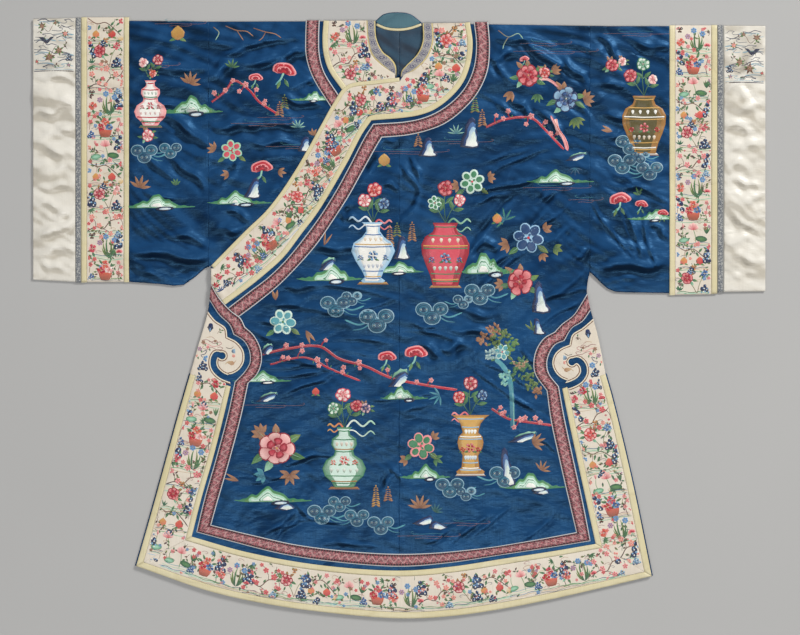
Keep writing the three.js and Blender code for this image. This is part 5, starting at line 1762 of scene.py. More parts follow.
def flowerBasket(pen):
    basket(pen, 0, -18, 20, 12, "crimson", "coral")
    peony(pen, -6, -3, 6.4, "red", rich=False)
    peony(pen, 6, -2, 6.0, chance.choice(("pale", "blue")), rich=False)
    peony(pen, 0, 6, 6.4, chance.choice(("pink", "coral")), rich=False)
    for turn in (20, 55, 125, 160):
        c, s = heading(turn)
        leaf(pen, 7 * c, 1 + 6 * s, turn, 10, 3.6)
    line(pen, [(-28, -19), (-12, -21), (12, -20), (28, -21)], 1.2, "mint", "leaf")
    piercedRock(pen, -21, -18, 12, 11, "navy", "blue")
    line(pen, [(21, -20), (19, -6), (23, 8)], 1.2, "dark", "brown")
    for x, y in ((19, -6), (24, 2), (20, 9), (26, -10)):
        blossom(pen, x, y, 3.4, "pink")
    for x, y in ((-22, 6), (-16, 14), (-25, 16)):
        blossom(pen, x, y, 3.6, "red")
    line(pen, [(-24, -6), (-22, 6), (-16, 14)], 0.9, "brown")
    fan(pen, 8, 20, 200, 8, 2, 5, "pine", "leaf")


def lotusPool(pen):
    for k, y in enumerate((-22, -18.5, -15)):
        line(pen, [(-28 + 3 * k, y), (-10, y + 1), (8, y - 1), (27 - 4 * k, y)], 0.8,
             ("sky", "mint", "teal")[k])
    area(pen, oval(-12, -9, 9, 4.6, 6, 12), "pine", "leaf", level=1)
    area(pen, oval(14, -11, 8, 4.0, -6, 12), "green", "mint", level=1)
    line(pen, [(-4, -17), (-3, -4), (0, 6)], 1.1, "leaf")
    for k, turn in enumerate((90, 62, 118, 36, 144)):
        area(pen, petal(0, 4, turn, 12 - 0.04 * abs(turn - 90) * 1.2, 5), "pink" if k % 2 else "red", "blush",
             toward=turn, level=1 + (k == 0))
    line(pen, [(12, -14), (16, -2), (15, 7)], 0.9, "leaf")
    area(pen, petal(15, 6, 88, 8, 4), "red", "blush", toward=90, level=1)
    fan(pen, -20, -2, 100, 14, 2.4, 5, "pine", "leaf", 70)
    line(pen, [(-22, 17), (-14, 20), (-6, 17), (-9, 14), (-13, 16)], 1.0, "sand", "mist")
    line(pen, [(18, 20), (24, 22), (27, 18), (23, 16)], 0.9, "mist", "sand")
    blossom(pen, 24, 3, 3.6, "coral")
    blossom(pen, -25, 10, 3.2, "violet")


def fruitBranch(pen):
    line(pen, [(-26, 18), (-12, 10), (0, 12), (14, 2), (24, -8)], 1.6, "brown", "dark")
    line(pen, [(-12, 10), (-14, -3)], 0.9, "brown")
    line(pen, [(0, 12), (6, 20)], 0.9, "brown")
    fruit(pen, -14, -6, 5.6, "coral", "gold")
    fruit(pen, 10, -6, 6.2, "red", "coral")
    fruit(pen, 23, -12, 4.4, "gold", "cream")
    for x, y, turn in ((-20, 15, 110), (-4, 12, 70), (8, 7, 50), (18, -3, 30), (-8, 9, 250), (4, 8, 300)):
        leaf(pen, x, y, turn, 9, 3.6, "pine", "leaf")
    blossom(pen, 7, 20, 4.2, "pink")
    blossom(pen, -24, 4, 3.8, "blue")
    blossom(pen, 24, 14, 4.4, "red")
    leaf(pen, 22, 12, 220, 8, 3)
    line(pen, [(-28, -21), (-8, -19), (10, -22), (28, -20)], 1.2, "leaf", "mint")
    piercedRock(pen, -3, -24, 14, 10)


groups = [peonyAndRock, plumBranch, irisClump, flowerBasket, lotusPool, fruitBranch]


def twig(pen, x, y, turn, length, tone="dark"):
    c, s = heading(turn)
    middle = (x + length * 0.5 * c - s, y + length * 0.5 * s + c)
    line(pen, [(x, y), middle, away(x, y, turn, length)], 0.8, tone)
    for k in (0.45, 0.75, 1.0):
        side = chance.choice((-1, 1))
        leaf(pen, *away(x, y, turn, k * length), turn + side * 55, 5.4, 2.6,
             chance.choice(("ink", "pine", "dark")), chance.choice(("moss", "leaf", "brown")), rib=None)


def bank(pen, y, tones):
    # lines of ground across a band
    for k, tone in enumerate(tones):
        low, start = y - 2.1 * k, -29 + 9 * chance.random()
        end = 28 - 8 * chance.random()
        line(pen, [(start, low), (-12, low + 1.4), (3, low - 0.8), (15, low + 1.0), (end, low - 0.4)],
             1.15 - 0.12 * k, tone)


def filler(pen, width, height):
    # small leaves, buds, twigs and curls between the groups
    for _ in range(16):
        x, y = chance.uniform(-width / 2, width / 2), chance.uniform(-0.5, 0.5) * height
        pick = chance.random()
        if pick < 0.36:
            twig(pen, x, y, chance.uniform(0, 360), chance.uniform(7, 11),
                 chance.choice(("dark", "brown", "pine")))
        elif pick < 0.6:
            blossom(pen, x, y, chance.uniform(2.4, 3.8),
                    chance.choice(("red", "pink", "blue", "coral", "plum")))
        elif pick < 0.8:
            leaf(pen, x, y, chance.uniform(0, 360), 7, 3, chance.choice(("pine", "ink", "brown")), "leaf",
                 rib=None)
        else:
            line(pen, [(x - 5, y), (x - 1, y + 1.8), (x + 4, y + 0.6), (x + 3, y - 1.4), (x, y - 0.8)], 0.8,
                 chance.choice(("sand", "mist", "slate")))


def fillBand(work, centres, turns, widths, pitch, first=0):
    # groups set one after another along a band, with banks and dark stones between them
    grounds = (("green", "mint", "sand"), ("slate", "sand"), ("mist", "sand", "slate"), ("leaf", "grey"),
               ("sea", "mint"))
    for k, (place, turn, width) in enumerate(zip(centres, turns, widths)):
        size = width / 56
        pen = penAt(work, place[0], place[1], turn, size, 1 if (k + first) % 2 else -1)
        bank(pen, -0.43 * pitch / size, grounds[(k + first) % 5])
        if k % 2:
            piercedRock(pen, 22 * chance.choice((-1, 1)), chance.uniform(-16, 0), 17, 23)
        groups[(k * 5 + first) % len(groups)](pen)
        filler(pen, 54, pitch / size)


def allowedMap(outline):
    # where stitches may lie: inside one piece of cloth
    outline = np.asarray(outline, float)
    low, high = outline.min(0) - 2, outline.max(0) + 2
    x, y = np.meshgrid(*[np.arange(low[axis], high[axis], stitching["roomStep"]) for axis in (0, 1)])
    return {"low": low, "grid": insideOf(outline, x, y)}


def allowed(work, points):
    room = work.get("room")
    if room is None:
        return np.ones(len(points), bool)
    at = np.round((np.asarray(points) - room["low"]) / stitching["roomStep"]).astype(int)
    rows, columns = room["grid"].shape
    inside = (at[:, 0] >= 0) & (at[:, 1] >= 0) & (at[:, 0] < columns) & (at[:, 1] < rows)
    at = np.clip(at, 0, (columns - 1, rows - 1))
    return inside & room["grid"][at[:, 1], at[:, 0]]


# The blue silk's motifs: flowers, stones, hills and clouds. Places in millimetres, then sizes.
garden = {
    "mounds": [
        (-377, 366, 120, 34), (-287, 202, 116, 26), (-434, 195, 134, 26), (-125, 65, 120, 34),
        (-12, 78, 112, 22), (163, 78, 112, 40), (289, 240, 122, 26), (451, 173, 86, 20),
        (-247, -118, 106, 22), (9, -149, 86, 26), (46, -291, 92, 28), (-227, -333, 140, 30),
        (239, -309, 120, 30), (-161, 387, 70, 18)],
    "stones": [
        (-170, 305, 16, 22, 0.1), (-265, 225, 18, 30, 0.3), (52, 299, 20, 28, 0), (127, 323, 22, 44, 0.1),
        (5, 117, 18, 34, 0), (-132, 92, 22, 22, 0.2), (255, 27, 20, 46, -0.2), (252, -23, 14, 24, -0.3),
        (-238, -61, 18, 18, 0), (-4, -113, 28, 30, 0.15), (-243, -147, 26, 16, 0.4), (-207, -343, 30, 10, 0),
        (214, -219, 32, 18, 0.5), (196, -279, 18, 56, -0.3), (41, -369, 26, 12, 0.4),
        (70, -378, 30, 11, -0.3), (313, 285, 26, 14, 0.4), (-294, 202, 18, 8, 0), (255, -316, 26, 9, 0)],
    "peonies": [
        (-452, 323, 11, "pale", "tan"), (-220, -239, 31, "pink", "tan"), (216, 60, 23, "red", "tan"),
        (232, 431, 20, "red", "tan"), (261, 436, 11, "coral", "tan"), (-443, 434, 7, "coral", "tan"),
        (-60, -167, 10, "violet", "tan"), (383, 449, 12, "red", "tan"), (401, 456, 8, "pale", "tan"),
        (300, 389, 22, "blue", "tan")],
    "outlines": [
        (-301, 296, 19, "mint", "pink", "red"), (131, 240, 22, "ice", "green", "pink"),
        (232, 139, 27, "sky", "ground", "red"), (39, -235, 24, "rose", "green", "pink"),
        (-209, -12, 23, "ice", "teal", "green"), (185, -66, 15, "ice", "teal", "pink")],
    "fungi": [
        (-258, 425, 13, 0), (-207, 438, 22, -12), (-247, 263, 20, 6), (-22, -77, 17, 0), (30, -70, 21, 0),
        (225, 459, 9, 10), (397, 206, 20, 8), (435, 198, 12, -6), (473, 182, 11, 0)],
    "clouds": [
        (-458, 294, 13, 1), (-411, 299, 11, -1), (-114, 20, 15, 1), (-40, -5, 17, -1), (-85, 33, 10, 1),
        (59, 8, 16, 1), (145, 42, 15, 1), (115, 27, 10, -1), (-139, -354, 14, 1), (-107, -336, 11, 1),
        (-76, -361, 12, -1), (-33, -374, 13, 1), (91, -306, 14, 1), (120, -318, 10, 1), (190, -286, 15, -1),
        (415, 310, 14, 1), (401, 276, 14, 1), (450, 263, 13, -1), (433, 288, 10, 1)],
    "fans": [
        (-377, 416, 70, 24, 6, 6, "brown", "tan", 150), (-301, 445, 80, 17, 4, 5, "pine", "leaf", 140),
        (-330, 297, 150, 18, 6, 4, "brown", "tan", 100), (-306, 254, 190, 16, 6, 3, "brown", "tan", 80),
        (-218, 258, 350, 16, 6, 3, "brown", "tan", 80), (-467, 229, 75, 24, 6, 5, "brown", "tan", 140),
        (-402, 233, 90, 14, 4, 4, "pine", "leaf", 90), (-182, 337, 90, 16, 3, 6, "sea", "mint", 160),
        (-155, 323, 80, 14, 5, 4, "brown", "tan", 110), (273, 438, 20, 20, 7, 4, "brown", "tan", 70),
        (203, 402, 240, 22, 8, 3, "brown", "tan", 60), (248, 398, 270, 18, 6, 4, "pine", "leaf", 90),
        (331, 387, 20, 22, 8, 5, "brown", "tan", 120), (316, 355, 290, 22, 7, 5, "pine", "moss", 110),
        (102, 326, 90, 18, 3, 6, "sea", "mint", 160), (106, 233, 190, 16, 7, 4, "brown", "tan", 120),
        (160, 247, 10, 15, 7, 4, "brown", "tan", 120), (196, 128, 200, 20, 8, 4, "brown", "tan", 120),
        (259, 153, 30, 18, 8, 3, "brown", "tan", 80), (277, 121, 340, 18, 9, 3, "pine", "moss", 80),
        (255, 110, 300, 16, 7, 3, "brown", "tan", 80), (190, 171, 120, 24, 4, 6, "sea", "green", 200),
        (187, 56, 190, 18, 8, 4, "brown", "tan", 100), (239, -27, 60, 20, 4, 5, "pine", "moss", 160),
        (-222, 27, 95, 22, 6, 2, "brown", "tan", 30), (-168, -27, 300, 30, 6, 2, "brown", "tan", 24),
        (-247, -214, 130, 22, 9, 5, "brown", "tan", 130), (-243, -286, 200, 20, 9, 4, "sea", "teal", 120),
        (-197, -286, 270, 22, 8, 6, "brown", "tan", 220), (-288, -298, 160, 32, 5, 2, "brown", "tan", 20),
        (14, -259, 200, 16, 8, 3, "brown", "tan", 90), (59, -221, 40, 16, 7, 3, "brown", "tan", 80),
        (63, -257, 330, 18, 7, 3, "pine", "leaf", 90), (37, -347, 90, 26, 6, 6, "brown", "tan", 150),
        (64, -354, 60, 18, 4, 5, "pine", "sea", 120), (239, -230, 20, 26, 6, 5, "brown", "tan", 110),
        (255, -279, 60, 20, 4, 5, "brown", "tan", 130), (-135, 125, 70, 30, 4, 2, "brown", "tan", 30),
        (383, 330, 160, 24, 6, 2, "brown", "tan", 24), (73, -144, 200, 22, 4, 5, "sea", "teal", 150),
        (316, 265, 270, 16, 3, 5, "sea", "navy", 140), (433, 216, 120, 16, 5, 3, "pine", "leaf", 80)],
    "plumes": [
        (-215, 359, 22, "brown", "tan"), (-206, 373, 20, "pine", "moss"), (34, 305, 18, "ochre", "tan"),
        (149, 341, 26, "ochre", "tan"), (136, 366, 26, "green", "moss"), (-17, 125, 34, "ochre", "tan"),
        (23, 135, 30, "ochre", "tan"), (-4, 143, 20, "pine", "moss"), (-42, -342, 34, "ochre", "gold"),
        (-20, -333, 22, "brown", "tan")],
    "mists": [
        (-247, 344, 110), (-180, 303, 120), (-215, 355, 80), (12, 294, 150), (111, 312, 110),
        (280, 474, 150), (262, 488, 90), (426, 506, 120), (282, 229, 120), (-233, -162, 120),
        (120, -374, 80), (52, -397, 110), (-431, 449, 70), (-395, 524, 90), (334, 207, 60)],
    "fruits": [
        (-398, 506, 13, "ochre", "gold"), (-27, 278, 11, "ochre", "gold"), (176, 173, 9, "coral", "gold"),
        (-150, -138, 7, "red", "coral")],
    # winding branches with blossoms: their thickness and their points
    "branches": [
        (4.2, [(-337, 383), (-313, 402), (-296, 421), (-270, 405), (-252, 384), (-216, 360)]),
        (4.6, [(156, 338), (190, 352), (238, 354), (262, 334), (296, 298)]),
        (5.0, [(-246, -70), (-200, -60), (-143, -56), (-108, -78), (-60, -92), (-16, -112), (50, -126),
               (104, -134)]),
        (4.0, [(-232, -88), (-170, -76), (-120, -98), (-70, -118)]),
        (4.6, [(166, -168), (196, -186), (232, -192), (276, -198)])],
    # the pink-barked tree: the points and thickness of its stems
    "pinkStems": [
        ([(252, 424), (266, 424), (280, 416), (288, 408)], 5),
        ([(281, 352), (284, 335), (296, 318), (303, 296)], 7),
        ([(284, 335), (276, 350), (272, 358)], 4)],
    # the tufts of the green tree
    "tufts": [
        (178, -40, 17, "pine", "moss"), (196, -55, 14, "green", "moss"), (217, -98, 20, "pine", "leaf"),
        (236, -118, 14, "pine", "moss"), (170, -72, 12, "sea", "ice"), (190, -112, 10, "teal", "mint"),
        (170, -26, 9, "brown", "tan"), (218, -90, 9, "brown", "sand"), (248, -137, 8, "brown", "tan"),
        (150, -42, 8, "brown", "tan")],
    # thin bare twigs and the colour they end in
    "twigs": [
        ([(-312, 520), (-292, 512), (-274, 510), (-262, 501)], "tan"),
        ([(-292, 512), (-284, 500), (-280, 494)], "tan"),
        ([(-262, 516), (-240, 509), (-222, 505), (-212, 498)], "tan"),
        ([(-240, 509), (-246, 498), (-252, 493)], "tan"),
        ([(-334, 518), (-324, 508), (-330, 494)], "mint"),
        ([(178, 512), (196, 500), (214, 506), (222, 496)], "mint"),
        ([(196, 500), (188, 486), (186, 478)], "mint")],
    # tall vases on their stands: place, height, colours, flowers, foot and form, then the tails of their sashes
    "vases": [
        (-47, 58, 176, "white", "sky", "blue", "blue",
         [(112, 0.24, "pale", 12), (88, 0.33, "coral", 13), (60, 0.22, "blue", 11)], "gold", "baluster",
         [(162, -1, 44, "white", "sky"), (160, 1, 34, "red", "rose")]),
        (83, 52, 184, "pink", "crimson", "green", "blue",
         [(118, 0.22, "green", 13), (90, 0.34, "red", 14), (58, 0.26, "pale", 11)], "gold", "jar",
         [(158, 1, 46, "green", "mint")]),
        (-99, -310, 176, "ice", "green", "green", "coral",
         [(120, 0.22, "mint", 11), (92, 0.33, "pale", 13), (60, 0.25, "red", 11)], "ochre", "gourd",
         [(-208, 1, 56, "white", "mint"), (-205, -1, 30, "coral", "gold")]),
        (128, -286, 172, "gold", "ochre", "sky", "red",
         [(122, 0.22, "coral", 11), (90, 0.33, "pink", 13), (58, 0.24, "blue", 10)], "white", "beaker",
         [(-186, -1, 34, "pink", "rose")]),
        (440, 290, 168, "olive", "ochre", "gold", "red",
         [(124, 0.26, "red", 12), (92, 0.34, "mint", 12), (62, 0.2, "pale", 9)], "white", "jar", []),
        (-447, 340, 132, "white", "rose", "red", "pink",
         [(112, 0.26, "pale", 9), (70, 0.3, "pink", 10)], "green", "gourd", [])],
}


def workFor(works, x, y):
    if x < -343:
        return works["sleeve_right"]
    if x > 343:
        return works["sleeve_left"]
    if x > 0:
        return works["coat_half_left"]
    above = y > np.interp(x, closingEdge[::-1, 0], closingEdge[::-1, 1])
    return works["coat_half_right" if above else "overlap_front"]


def foliage(pen, x, y, r, first, last, count):
    for _ in range(count):
        a, b = chance.uniform(0, 360), r * math.sqrt(chance.random())
        leaf(pen, x + b * math.cos(a), y + b * math.sin(a), chance.uniform(0, 360), 9, 5.2, first, last,
             rib=None, level=chance.choice((0, 1, 2)))


def embroiderBlue():
    works = {}
    for name, surface in (("sleeve_right", under), ("sleeve_left", under), ("coat_half_right", under),
                          ("coat_half_left", over), ("overlap_front", over)):
        works[name] = newWork(raised(surface, coat["silkWall"] + 0.05), stitching["blueLift"])
    pen = lambda x, y: penAt(workFor(works, x, y), 0, 0)
    for x, y, width in garden["mists"]:
        mistLines(pen(x, y), x, y, width)
    for x, y, width, height in garden["mounds"]:
        mound(pen(x, y), x, y, width, height)
    for width, points in garden["branches"]:
        x, y = points[len(points) // 2]
        branch(pen(x, y), points, width, "crimson", "red", [(0.2, 5), (0.5, 6), (0.8, 5)], "pink", 5)
    for x, y, width, height, lean in garden["stones"]:
        gardenStone(pen(x, y), x, y - height / 2, width, height, lean)
    for x, y, turn, length, width, count, first, last, spread in garden["fans"]:
        fan(pen(x, y), x, y, turn, length, width, count, first, last, spread)
    for x, y, height, first, last in garden["plumes"]:
        plume(pen(x, y), x, y, height, first, last)
    for x, y, r, tail in garden["clouds"]:
        cloudGroup(pen(x, y), x, y, r, tail)
    for x, y, r, first, last in garden["fruits"]:
        fruit(pen(x, y), x, y, r, first, last)
    for x, y, r, turn in garden["fungi"]:
        fungus(pen(x, y), x, y, r, turn)
    for x, y, r, kind, dry in garden["peonies"]:
        peonySpray(pen(x, y), x, y, r, kind, dry)
    for x, y, r, edge, fill, heart in garden["outlines"]:
        leaf(pen(x, y), x - 0.6 * r, y - 0.6 * r, 215, r * 0.9, r * 0.4)
        leaf(pen(x, y), x + 0.6 * r, y - 0.5 * r, 325, r * 0.9, r * 0.4, "pine", "moss")
        outlined(pen(x, y), x, y, r, edge, fill, heart)

    for points, width in garden["pinkStems"]:
        line(pen(250, 400), points, width, "blush", "rose", level=1)
        line(pen(250, 400), np.array(points) + [1.2, 0.5], width * 0.3, "coral", "pink", level=2)
    line(pen(200, -150), [(204, -203), (203, -160), (199, -118), (190, -96), (172, -78)], 9, "sea", "teal",
         level=1)
    line(pen(200, -150), [(206, -200), (205, -160), (201, -120)], 2.2, "mint", "teal", level=2)
    for x, y, r, first, last in garden["tufts"]:
        foliage(pen(x, y), x, y, r, first, last, int(r * 1.9))
    for points, tone in garden["twigs"]:
        line(pen(*points[0]), points, 1.8, "brown", tone)
    for x, y, height, *look, tails in garden["vases"]:
        vase(pen(x, y), x, y, height, *look)
        for rise, side, length, first, last in tails:
            ribbonTails(pen(x, y), x, rise, side, length, first, last)
    return works


# The upper end of the ivory cuff: muted flowers among mist lines. Places start at the middle of its foot.
cuffWork = {
    "floor": {"right": 438, "left": 417},
    "ground": [
        ([(-36, 0.5), (0, 1.5), (36, 0.5)], 1.9, "slate", "dark"),
        ([(-36, 3.2), (-4, 4.4), (36, 3.0)], 0.9, "fog", None)],
    "mists": [
        (-34, 4, 44, "slate"), (2, 8, 34, "fog"), (-30, 20, 30, "fog"), (6, 26, 30, "slate"),
        (-36, 40, 26, "slate"), (8, 56, 28, "fog"), (-34, 62, 40, "slate"), (-4, 74, 40, "slate"),
        (-36, 84, 30, "fog"), (10, 88, 26, "slate")],
    "flowers": [
        (-8, 26, 6.4, "plum"), (9, 38, 6, "plum"), (-22, 82, 5, "plum"), (20, 68, 4.4, "coral"),
        (-31, 18, 2.6, "red"), (26, 12, 3, "violet"), (2, 88, 3.4, "plum")],
    "leafTurns": (30, 100, 160, 220, 290, 340),
    "stems": [[(-8, 26), (4, 46), (9, 38), (22, 52), (14, 62)], [(-22, 82), (-10, 72), (-2, 84)]],
    "twigs": [(-20, 48, 60), (24, 40, 110), (-30, 70, 20), (14, 80, 140), (-4, 10, 10)],
    "mistBands": [
        [(-36, 56), (-14, 58), (4, 55)], [(-2, 66), (16, 68), (36, 66)], [(-36, 34), (-22, 35), (-8, 33)],
        [(14, 30), (26, 31), (36, 29)], [(-20, 89), (-2, 90), (12, 88)], [(-30, 14), (-12, 15), (0, 13)]],
    "ridges": [
        ([(-33, 52), (-26, 56), (-18, 54), (-12, 48), (-4, 50), (6, 47)], "slate"),
        ([(-30, 36), (-20, 40), (-8, 37), (2, 32), (14, 35), (28, 32)], "slate"),
        ([(-34, 30), (-22, 33), (-12, 29)], "fog"), ([(4, 60), (14, 64), (24, 60), (34, 62)], "ink"),
        ([(-30, 92), (-18, 95), (-8, 91), (4, 93)], "slate"), ([(-20, 8), (-8, 13), (4, 10)], "ink"),
        ([(12, 84), (22, 80), (34, 83)], "ink"), ([(8, 18), (18, 22), (30, 20), (35, 24)], "slate")],
    "hill": [(-28, 62), (-20, 62), (-13, 56), (-6, 62), (1, 63), (-6, 56), (-12, 50), (-21, 55)],
}


def embroiderCuff(works, side, row):
    toward = row["toward"]
    name, x0, x1, t0, t1, b0, b1, extra, slotName = row["bands"][4]
    floor = cuffWork["floor"][side]
    surface = raised(under, coat["silkWall"] + extra + 0.03)
    work = works["sleeve_cuff_" + side] = newWork(surface, stitching["cuffLift"])
    work["room"] = allowedMap([(toward * (x0 - 1), floor - 3), (toward * (x1 - 1), floor - 1),
                               (toward * (x1 - 1), t1 - 1), (toward * (x0 - 1), t0 - 1)])
    pen = penAt(work, toward * (x0 + x1) / 2, floor, 0, 1.0, -toward)
    for path, width, first, last in cuffWork["ground"]:
        line(pen, path, width, first, last)
    for x, y, width, tone in cuffWork["mists"]:
        line(pen, [(x, y), (x + width * 0.4, y - 0.5), (x + width * 0.5, y + 3), (x + width * 0.3, y + 5),
                   (x + width * 0.7, y + 6), (x + width * 0.84, y + 2.5), (x + width, y + 2)], 1.15, tone)
    for x, y, r, kind in cuffWork["flowers"]:
        for turn in cuffWork["leafTurns"]:
            leaf(pen, x, y, turn + chance.uniform(-15, 15), r * 1.7, r * 0.7,
                 chance.choice(("olive", "dark", "pine")), chance.choice(("moss", "brown", "leaf")), rib=None)
        blossom(pen, x, y, r, kind, level=1.5)
    for path in cuffWork["stems"]:
        line(pen, path, 1.0, "dark", "brown")
    for x, y, turn in cuffWork["twigs"]:
        twig(pen, x, y, turn, 10)
    for path in cuffWork["mistBands"]:
        line(pen, path, 2.6, "grey", "fog", level=0.1)
    for path, tone in cuffWork["ridges"]:
        line(pen, path, 1.7, tone, "slate")
    area(pen, cuffWork["hill"], "ink", "slate", level=1)
    piercedRock(pen, 27, 20, 12, 14, "ink", "slate")


# The cream facings: how many groups of motifs a band holds, how wide each is and how far apart they stand
bands = {
    "sleeveCount": 11, "sleeveWidth": 67, "sleevePitch": 44,
    "collarCount": 19, "collarPitch": 43,
    "collarTurns": [-6, -4, -6, -4, 0, 6, 10, 28, 34, 36, 38, 38, 40, 42, 42, 44, 40],
    "hemCount": 16, "hemWidth": 66, "hemPitch": 60,
    "slitCount": 8, "slitWidth": 70, "slitPitch": 43,
    "outerShare": 0.14,  # stitches lie between these shares of a facing's width, counted from its outer edge
    "middleShare": 0.51,
    "innerShare": 0.88,
    # at the head of each slit: lines of mist with their colours, and small flowers
    "scrollMists": [
        ([(-20, 9), (-12, 10), (-4, 6), (2, 3), (8, 6), (4, 9), (-3, 6), (-8, 7)], "mist"),
        ([(-19, 4), (-10, 2), (-1, -2), (8, -1), (15, 3), (11, 6), (6, 3)], "rose"),
        ([(-10, -3), (-2, -4), (6, -8), (14, -8), (17, -5), (12, -3), (7, -5)], "mist"),
        ([(-17, -1), (-20, -4), (-14, -7), (-5, -7)], "sand"), ([(-12, 14), (-3, 15), (3, 11)], "sand")],
    "scrollFlowers": [
        (-8, -30, 4.2, "plum"), (-11, -43, 4.8, "violet"), (2, -36, 3.4, "pink"), (-14, -56, 3.4, "coral"),
        (12, -22, 3, "plum")],
    # the cords along the scrolls: distance from the edge, width and colour
    "cords": [(1.1, 2.0, "cream"), (2.9, 1.8, "brown")],
}


def bandWork(works, node, outline, surface):
    works[node] = newWork(raised(surface, coat["facingWall"] + 0.02), stitching["creamLift"])
    works[node]["room"] = allowedMap(closed(outline))
    return works[node]


def embroiderSleeveBand(works, side, row):
    toward, count, pitch = row["toward"], bands["sleeveCount"], bands["sleevePitch"]
    name, x0, x1, t0, t1, b0, b1, extra, slotName = row["bands"][1]
    outline = [(toward * x0, t0 - 2), (toward * x1, t1 - 2), (toward * x1, b1 + 2), (toward * x0, b0 + 2)]
    surface = raised(under, coat["silkWall"] + extra - coat["facingWall"])
    work = bandWork(works, "sleeve_band_" + side, outline, surface)
    centres = [(toward * (x0 + x1) / 2, y) for y in np.linspace(b0 + 24, t0 - 24, count)]
    fillBand(work, centres, [0] * count, [bands["sleeveWidth"]] * count, pitch, 0 if toward > 0 else 3)


def embroiderCollars(works):
    inner = joined(neck["leftRibbon"], shifted(closingEdge, coat["closingBindingWidth"]))
    outer = shifted(collarFacingEdge, -coat["collarBindingWidth"])
    outline = joined(inner[inner[:, 0] < 62], [(-338, 84), (-338.5, 50), (-331, 40)], outer[::-1])
    work = bandWork(works, "facing_collar_left", outline, onOver)
    path = smooth([(90, 520), (96, 486), (88, 448), (64, 416), (26, 397), (-20, 387), (-68, 380), (-96, 348),
                   (-130, 290), (-163, 230), (-195, 180), (-226, 147), (-256, 117), (-286, 88), (-310, 62)],
                  1.0)
    count = bands["collarCount"]
    turns = np.interp(np.arange(count) * 17 / count, range(17), bands["collarTurns"])
    widths = [76, 76, 74, 70] + [66] * (count - 4)
    fillBand(work, evenly(path, count)[:-1], turns, widths, bands["collarPitch"], 1)

    end = penAt(work, -321, 60, 38)
    peonySpray(end, 3, 9, 6.5, "pink", rich=False)
    peonySpray(end, -10, 0, 5.2, "red", rich=False)
    piercedRock(end, 7, -13, 18, 12)
    fan(end, -9, -14, 80, 11, 2.2, 5, "navy", "blue", 140)
    inner = shifted(rightCollar["facing"], coat["collarBindingWidth"])
    outline = joined(neck["rightRibbon"], [(-7, 430), (-50, 420), (-88, 411)], inner[::-1])
    work = bandWork(works, "facing_collar_right", outline, onUnder)
    fillBand(work, [(-92, 510), (-90, 468), (-76, 430), (-50, 408)], [4, 6, 8, 0], [68, 70, 66, 54], 42, 2)
    for x, y in ((-34, 418), (-22, 426), (-48, 432), (-60, 418), (-30, 406)):
        pen = penAt(work, x, y, chance.uniform(-40, 40), 0.8)
        peonySpray(pen, 0, 0, 5, chance.choice(("pink", "red", "plum")), rich=False)


def embroiderHem(works):
    outer, middle, inner = [between(hem, hemFacing, bands[key + "Share"], count)
                            for key, count in (("outer", 90), ("middle", 400), ("inner", 90))]
    work = bandWork(works, "facing_hem", joined(outer, inner[::-1]), onOver)
    count = bands["hemCount"]
    at = np.linspace(14, 386, count).astype(int)
    turns = [math.degrees(math.atan2(*(middle[k + 3] - middle[k - 3])[::-1])) for k in at]
    fillBand(work, middle[at], turns, [bands["hemWidth"]] * count, bands["hemPitch"], 4)
    for k, share in enumerate(np.linspace(0.07, 0.93, 14)):
        pen = penAt(work, *middle[int(share * 400)], turns[min(k, 12)])
        blossom(pen, 0, chance.uniform(-20, 20), 4, chance.choice(("pink", "red", "blue")))
        leaf(pen, 2, -6, chance.uniform(200, 330), 9, 3.4)
    for toward in (-1, 1):
        corner = penAt(work, toward * 438, -434, 0, 1, toward)
        piercedRock(corner, 4, -8, 16, 15)
        twig(corner, -6, -4, 100, 14, "brown")
        blossom(corner, -8, 6, 4.4, "pink")
        blossom(corner, -17, -2, 3.6, "red")


def embroiderScroll(work, toward):
    # the motifs round the blue channel at the head of a slit's facing
    low = 0 if toward < 0 else -12
    gourd = penAt(work, toward * 340.5, -31 + low * 0.9, toward * 8)
    area(gourd, petal(0, 0, 90, 17, 11, 0.42), "ink", "navy", toward=90, level=1)
    area(gourd, petal(0, 1, 90, 9, 5, 0.4), "sky", "blue", toward=90, level=2)
    pen = penAt(work, toward * 336, -22 + low, toward * 16, 1.0, -toward)
    mist = penAt(work, toward * 334, -54 + low * 0.7, 0, 1.0, -toward)
    for path, tone in bands["scrollMists"]:
        line(mist, path, 1.4, tone, "mist")
    twig(pen, 12, -8, 60, 9, "brown")
    for x, y, r, kind in bands["scrollFlowers"]:
        blossom(pen, x, y, r, kind)
        leaf(pen, x + 3, y - 1, 300, 6, 2.8, "pine", "leaf")
    eye = penAt(work, toward * 303, -66 + low, 0, 1.0, -toward)
    area(eye, [(8, 6), (2.5, 4), (1.4, 0.5), (3.5, -2), (8.5, -2.5)], "slate", "sky", toward=30, level=1)
    line(eye, [(-8, 8), (0, 6), (6, 10)], 1.0, "dark", level=2)
    blossom(eye, 5.5, -7, 3.4, "coral")
    line(eye, [(-10, -22), (-2, -17), (5, -20), (10, -15)], 1.5, "sand", "ochre")
    area(eye, petal(-8, -18, 348, 15, 8), "sand", "tan", toward=348, level=1)
    blossom(penAt(work, toward * 347, -78 + low), 0, 0, 6, "blue", petals=6)
    peonySpray(penAt(work, toward * 330, -124 + low, toward * 10), 0, 0, 7.5, "red", rich=False)
    piercedRock(penAt(work, toward * 353, -98 + low), 0, 0, 19, 16)
    piercedRock(penAt(work, toward * 359, -120 + low), 0, 0, 11, 19)
    line(pen, [(-4, -46), (2, -42), (0, -50), (-6, -53), (-1, -57)], 1.6, "navy", "slate")


